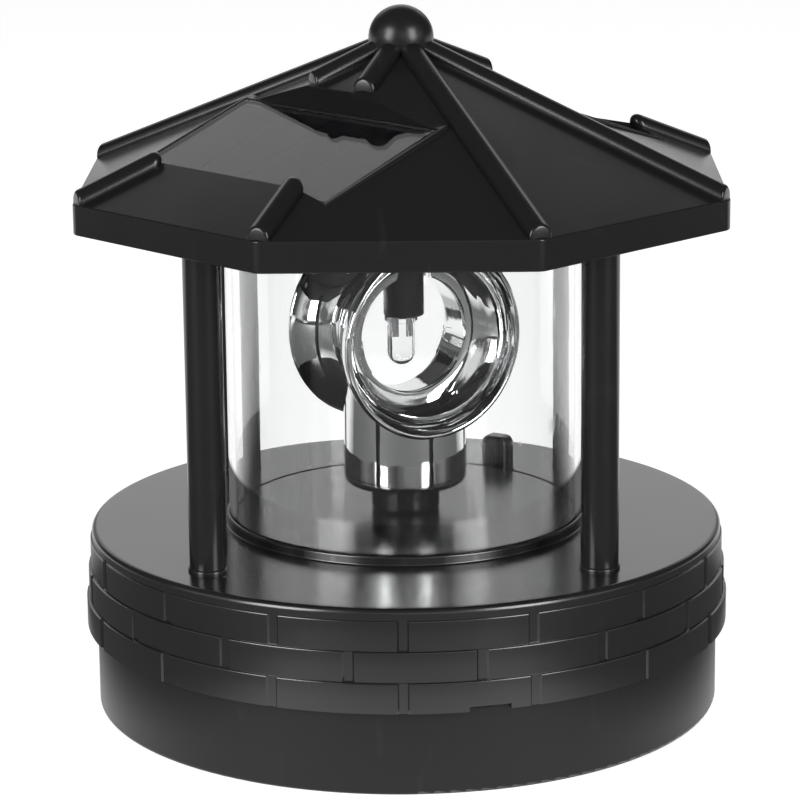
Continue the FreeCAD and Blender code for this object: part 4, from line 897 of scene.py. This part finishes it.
def build_reflector():
    bowl = chosen("reflector")
    turn = Matrix.Rotation(bowl.bearing, 4, "Z")
    lying = turn @ Matrix.Translation((0, 0, bowl.centre_z)) @ Matrix.Rotation(math.radians(90), 4, "X")
    shell = turned(bowl_shell_outline(), lying, 192)
    hollow = turned(bowl_hollow_outline(), lying, 192)
    hole_r, past = 4.98 * MM, bowl.centre_z + 2 * bowl.rim_r
    lamp_hole = turned([(0, bowl.centre_z), (hole_r, bowl.centre_z), (hole_r, past), (0, past)],
                       segments=64)
    edge, wall, socket, floor = 1.6 * MM, 1.5 * MM, 4.05 * MM, HUB_Z + 4.5 * MM
    outline = [(socket, HUB_Z), (bowl.stem_r - edge - 2 * MM, HUB_Z)]
    outline += arc((bowl.stem_r - edge, HUB_Z + edge), edge, -90, 0, 8)
    outline += rise((bowl.stem_r, HUB_Z + 2 * edge), (bowl.stem_r, bowl.centre_z), 24)
    outline += [(bowl.stem_r - wall, bowl.centre_z), (bowl.stem_r - wall, floor), (socket, floor)]
    stem = turned(outline, segments=192)
    solid = carved(stem, [("DIFFERENCE", hollow), ("UNION", shell), ("DIFFERENCE", lamp_hole)])
    make_piece("double_reflector", solid, "bright", "reflector_unit", "bright_reflector",
               "reflector")


def build_spindle():
    shaft, pedestal, spigot = 2.5 * MM, 6.05 * MM, 4.0 * MM
    low = PLINTH_TOP + 0.3 * MM
    edge = 0.3 * MM
    outline = [(0, SPINDLE_LOW), (shaft, SPINDLE_LOW), (shaft, low), (pedestal - edge, low),
               (pedestal, low + edge)]
    outline += rise((pedestal, low + MM), (pedestal, HUB_Z - MM), 4)
    outline += [(pedestal, HUB_Z), (spigot, HUB_Z), (spigot, SPINDLE_TOP), (0, SPINDLE_TOP)]
    make_piece("drive_pedestal", turned(outline, segments=96), "spindle", "reflector_unit",
               "spindle_plastic", "spindle")


# --- lamp ---
def build_lamp():
    outer, bore, flange = 3.58 * MM, 2.6 * MM, 6.0 * MM
    edge = 0.2 * MM
    outline = [(bore, HOLDER_LOW), (outer - edge, HOLDER_LOW), (outer, HOLDER_LOW + edge)]
    outline += rise((outer, HOLDER_LOW + MM), (outer, CEILING_TOP), 6)
    outline += [(flange, CEILING_TOP), (flange, HOLDER_TOP), (bore, HOLDER_TOP)]
    make_piece("lamp_holder", turned(outline, segments=96), "holder", "housing",
               "lamp_holder_plastic", "led_holder")

    middle = sum(corner.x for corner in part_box("led_lens")) / 2
    barrel, foot, foot_h = 2.5 * MM, 2.95 * MM, 1.0 * MM
    nose = LENS_LOW + barrel
    outline = [(0, LENS_TOP), (foot - SMALL_EDGE, LENS_TOP), (foot, LENS_TOP - SMALL_EDGE)]
    outline += [(foot, LENS_TOP - foot_h + SMALL_EDGE), (foot - SMALL_EDGE, LENS_TOP - foot_h)]
    outline += rise((barrel, LENS_TOP - foot_h), (barrel, nose), 6)
    outline += arc((0, nose), barrel, 0, -86, 16)[1:] + [(0, LENS_LOW)]
    bm = turned(outline, Matrix.Translation((middle, 0, 0)), 96)
    make_piece("lamp_lens", bm, "epoxy", "housing", "lamp_epoxy", "led_lens")


# --- push button ---
def button_place():
    return (Matrix.Rotation(math.radians(BUTTON_BEARING), 4, "Z")
            @ Matrix.Translation((0, -BUTTON_OUT, 0)))


def build_button():
    low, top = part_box("switch_button")[0].z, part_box("switch_button")[1].z
    flange_low = low + 5.0 * MM
    flange_top = flange_low + 1.3 * MM
    dome, over, stalk, nub = 1.5 * MM, 0.8 * MM, 1.2 * MM, 0.6 * MM
    levels = [(0, flange_top - 0.1 * MM), (0, DECK_Z), (0, (DECK_Z + top) / 2)]
    levels += [(dome * (1 - math.cos(a)), top - dome * (1 - math.sin(a)))
               for a in (math.radians(10 * i) for i in range(10))]
    bm = bmesh.new()
    prism(bm, rounded_plan(BUTTON_W, BUTTON_D, BUTTON_CORNER, 8), levels, button_place())
    prism(bm, rounded_plan(BUTTON_W + 2 * over, BUTTON_D + 2 * over, BUTTON_CORNER + over, 8),
          [(0, flange_low), (0, flange_top)], button_place())
    lathe(bm, [(0, low), (stalk, low), (stalk, flange_low + 0.1 * MM), (0, flange_low + 0.1 * MM)],
          button_place(), 32)
    nub_place = button_place() @ Matrix.Translation((BUTTON_W / 2, 0, (DECK_Z + top) / 2))
    lathe(bm, [(0, -nub)] + arc((0, 0), nub, -80, 80, 12) + [(0, nub)], nub_place, 24)
    make_piece("push_button", bm, "button", "button", "button_plastic", "switch_button")


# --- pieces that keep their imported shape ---
def dress_nodes():
    slots = {row["node"]: row["material_slot"] for row in frame["record"]["subparts"]}
    for name, obj in frame["nodes"].items():
        finish_name = NODE_FINISHES[slots[name]]
        obj.data.materials.clear()
        obj.data.materials.append(FINISHES[finish_name])


# --- stage ---
def ray_kinds(tree):
    """Masks of the rays that show the background: straight or through clear pieces, and mirrored."""
    path = tree.nodes.new("ShaderNodeLightPath").outputs
    mirrored = maths(tree, "MINIMUM", path["Glossy Depth"], 1.0)
    lighting = maths(tree, "MINIMUM", path["Diffuse Depth"], 1.0)
    mirrored = times(tree, mirrored, minus(tree, 1.0, lighting))
    plain = minus(tree, 1.0, larger(tree, mirrored, lighting))
    seen = larger(tree, path["Is Camera Ray"], path["Is Transmission Ray"])
    return times(tree, seen, plain), mirrored


def make_floor():
    """Pale sheet under the object; beyond it, in front and at the sides, the floor is painted dim grey
    for mirrored rays only, a painted shade that mirrors show as a dim room.
    """
    material, tree, shader = finish("pale_floor", {"Roughness": 0.8, "Specular IOR Level": 0.1,
                                                   "Emission Color": (1, 1, 1, 1)})
    # painted shade: the dim grey tone that mirrored rays see on the floor beyond the sheet
    painted_shade_tone, glow = (0.22, 0.22, 0.22), 0.8
    front_edge, side_edge, back_edge = (-0.15, -0.085), (0.08, 0.055), (0.06, 0.12)    # metres
    straight, mirrored = ray_kinds(tree)
    spot = axes(tree, object_spot(tree))
    strip = times(tree, spread(tree, spot["Y"], *front_edge),
                  spread(tree, maths(tree, "ABSOLUTE", spot["X"]), *side_edge))
    sheet = larger(tree, strip, spread(tree, spot["Y"], *back_edge))
    # painted shade mask: mirrored rays beyond the sheet, where the floor's colour is painted dim
    painted_shade_mask = times(tree, mirrored, minus(tree, 1.0, sheet))
    tinted(tree, shader, tuple(chosen("stage").floor), painted_shade_tone, painted_shade_mask)
    shown = larger(tree, straight, times(tree, mirrored, sheet))
    tree.links.new(times(tree, shown, glow), shader.inputs["Emission Strength"])
    bm = bmesh.new()
    bmesh.ops.create_circle(bm, cap_ends=True, segments=96, radius=6.0)
    mesh = bpy.data.meshes.new("floor")
    bm.to_mesh(mesh)
    bm.free()
    mesh.materials.append(material)
    floor = bpy.data.objects.new("floor", mesh)
    bpy.context.collection.objects.link(floor)


def make_world():
    """White to the eye. Light and mirrors find a white wall behind the object, up to a ragged edge
    and dimmer low at its sides, and a dim room elsewhere with soft patches of light in front."""
    dim, side_dim, patch_levels = 0.07, 0.35, (0.12, 0.8)    # parts of white
    # edges, in parts of a unit direction; each pair runs from where a mask is none to where it is all
    top_edge, side_edge, slump = (0.655, 0.635), (0.06, -0.04), (0.2, 0.3)
    side_start, side_end, low_part = 0.7, 0.19, (0.2, 0.35)
    room_front, room_top, patch_edge = (0.1, -0.2), (0.55, 0.4), (0.42, 0.56)
    world = bpy.data.worlds.new("studio")
    bpy.context.scene.world = world
    world.use_nodes = True
    tree = world.node_tree
    ray = tree.nodes.new("ShaderNodeTexCoord").outputs["Generated"]
    ahead = axes(tree, ray)
    wobble = times(tree, noise_at(tree, ray, 14, 5.0), 0.05)
    aside = maths(tree, "ABSOLUTE", ahead["X"])
    fall = spread(tree, aside, *slump, 0.0, 0.07)
    level = plus(tree, plus(tree, ahead["Z"], wobble), fall)
    beside = minus(tree, aside, times(tree, ahead["Y"], side_start))
    wall = times(tree, spread(tree, level, *top_edge),
                 spread(tree, plus(tree, beside, wobble), *side_edge))
    outer = minus(tree, aside, times(tree, ahead["Y"], side_end))
    dimmed = larger(tree, spread(tree, outer, 0.0, 0.03, 1.0, side_dim),
                    spread(tree, ahead["Z"], *low_part))
    wall = times(tree, wall, dimmed)
    room = times(tree, spread(tree, ahead["Y"], *room_front), spread(tree, ahead["Z"], *room_top))
    patches = spread(tree, noise_at(tree, ray, 2.6, 3.0), *patch_edge, *patch_levels)
    room = times(tree, room, patches)
    bright = larger(tree, wall, larger(tree, room, dim))
    straight, _ = ray_kinds(tree)
    background = tree.nodes["Background"]
    background.inputs["Color"].default_value = (1, 1, 1, 1)
    tree.links.new(larger(tree, bright, straight), background.inputs["Strength"])


def make_lamp(name, spot, target, size, power):
    data = bpy.data.lights.new(name, "AREA")
    data.shape = "RECTANGLE"
    data.size, data.size_y = size
    data.energy = power
    lamp = bpy.data.objects.new(name, data)
    lamp.location = spot
    lamp.rotation_euler = (Vector(target) - Vector(spot)).to_track_quat("-Z", "Y").to_euler()
    bpy.context.collection.objects.link(lamp)


def make_camera():
    """Looks slightly down from the front, turned and rolled by under a degree."""
    stage = chosen("stage")
    lens, turn, roll = 156.16, math.radians(0.75), math.radians(-0.595)
    target = Vector((-0.83 * MM, 0, 53.94 * MM))
    rise_angle = stage.camera_rise
    ahead = Vector((0, math.cos(rise_angle), -math.sin(rise_angle)))
    up = Vector((0, math.sin(rise_angle), math.cos(rise_angle)))
    right = Vector((1, 0, 0))
    tilted_right = math.cos(roll) * right + math.sin(roll) * up
    tilted_up = math.cos(roll) * up - math.sin(roll) * right
    facing = Matrix((tilted_right, tilted_up, -ahead)).transposed().to_4x4()
    data = bpy.data.cameras.new("camera")
    data.lens, data.sensor_width = lens, 36
    camera = bpy.data.objects.new("camera", data)
    place_at = Matrix.Translation(target - ahead * stage.camera_distance)
    camera.matrix_world = Matrix.Rotation(turn, 4, "Z") @ place_at @ facing
    bpy.context.collection.objects.link(camera)
    bpy.context.scene.camera = camera


def build_stage():
    stage = chosen("stage")
    middle = (0, 0, 0.06)
    make_floor()
    make_world()
    make_lamp("left_lamp", (-0.76, -0.76, 0.43), middle, (0.48, 0.72), stage.left_power)
    make_lamp("right_lamp", (0.74, -0.8, 0.43), middle, (0.44, 0.72), stage.right_power)
    make_camera()
    bpy.context.scene.view_settings.view_transform = "Standard"


# --- operators, panel and registration ---
class LanternOperator:
    """Runs its builders in order."""
    bl_options = {"REGISTER", "UNDO"}

    def execute(self, context):
        for builder in self.builders:
            builder()
        return {"FINISHED"}


class LANTERN_OT_finishes(LanternOperator, bpy.types.Operator):
    """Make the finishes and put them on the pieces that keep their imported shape"""
    bl_idname = "lantern.finishes"
    bl_label = "Finishes"
    builders = (make_finishes, dress_nodes)


class LANTERN_OT_roof(LanternOperator, bpy.types.Operator):
    """Make the eight-sided roof with its ribs, ball and panel pockets"""
    bl_idname = "lantern.roof"
    bl_label = "Roof"
    builders = (build_roof,)


class LANTERN_OT_panels(LanternOperator, bpy.types.Operator):
    """Make the clear tops of the two solar panels"""
    bl_idname = "lantern.panels"
    bl_label = "Solar Panels"
    builders = (build_panels,)


class LANTERN_OT_deck(LanternOperator, bpy.types.Operator):
    """Make the deck with its brick band"""
    bl_idname = "lantern.deck"
    bl_label = "Deck"
    builders = (build_deck,)


class LANTERN_OT_posts(LanternOperator, bpy.types.Operator):
    """Make the four posts"""
    bl_idname = "lantern.posts"
    bl_label = "Posts"
    builders = (build_posts,)


class LANTERN_OT_cylinder(LanternOperator, bpy.types.Operator):
    """Make the clear cylinder"""
    bl_idname = "lantern.cylinder"
    bl_label = "Clear Cylinder"
    builders = (build_cylinder,)


class LANTERN_OT_reflector(LanternOperator, bpy.types.Operator):
    """Make the double reflector and its pedestal"""
    bl_idname = "lantern.reflector"
    bl_label = "Reflector"
    builders = (build_reflector, build_spindle)


class LANTERN_OT_lamp(LanternOperator, bpy.types.Operator):
    """Make the lamp and its holder"""
    bl_idname = "lantern.lamp"
    bl_label = "Lamp"
    builders = (build_lamp,)


class LANTERN_OT_button(LanternOperator, bpy.types.Operator):
    """Make the push button"""
    bl_idname = "lantern.button"
    bl_label = "Push Button"
    builders = (build_button,)


class LANTERN_OT_stage(LanternOperator, bpy.types.Operator):
    """Make the floor, the world, the lamps and the camera"""
    bl_idname = "lantern.stage"
    bl_label = "Stage"
    builders = (build_stage,)


OPERATORS = (LANTERN_OT_finishes, LANTERN_OT_roof, LANTERN_OT_panels, LANTERN_OT_deck, LANTERN_OT_posts,
             LANTERN_OT_cylinder, LANTERN_OT_reflector, LANTERN_OT_lamp, LANTERN_OT_button,
             LANTERN_OT_stage)


class LANTERN_PT_pieces(bpy.types.Panel):
    """Lists the lantern's operators and settings"""
    bl_idname = "LANTERN_PT_pieces"
    bl_label = "Lantern"
    bl_space_type = "VIEW_3D"
    bl_region_type = "UI"
    bl_category = "Lantern"

    def draw(self, context):
        for operator in OPERATORS:
            self.layout.operator(operator.bl_idname)
        for group in SETTINGS:
            settings = chosen(group)
            column = self.layout.box().column()
            column.label(text=group.capitalize())
            for key in settings.__annotations__:
                column.prop(settings, key)


CLASSES = (*SETTINGS.values(), *OPERATORS, LANTERN_PT_pieces)


def register():
    for cls in CLASSES:
        bpy.utils.register_class(cls)
    for group, cls in SETTINGS.items():
        setattr(bpy.types.Scene, "lantern_" + group, bpy.props.PointerProperty(type=cls))


def unregister():
    for group in SETTINGS:
        delattr(bpy.types.Scene, "lantern_" + group)
    for cls in reversed(CLASSES):
        bpy.utils.unregister_class(cls)


def main():
    register()
    for operator in OPERATORS:
        category, name = operator.bl_idname.split(".")
        getattr(getattr(bpy.ops, category), name)()


if __name__ == "__main__":
    main()
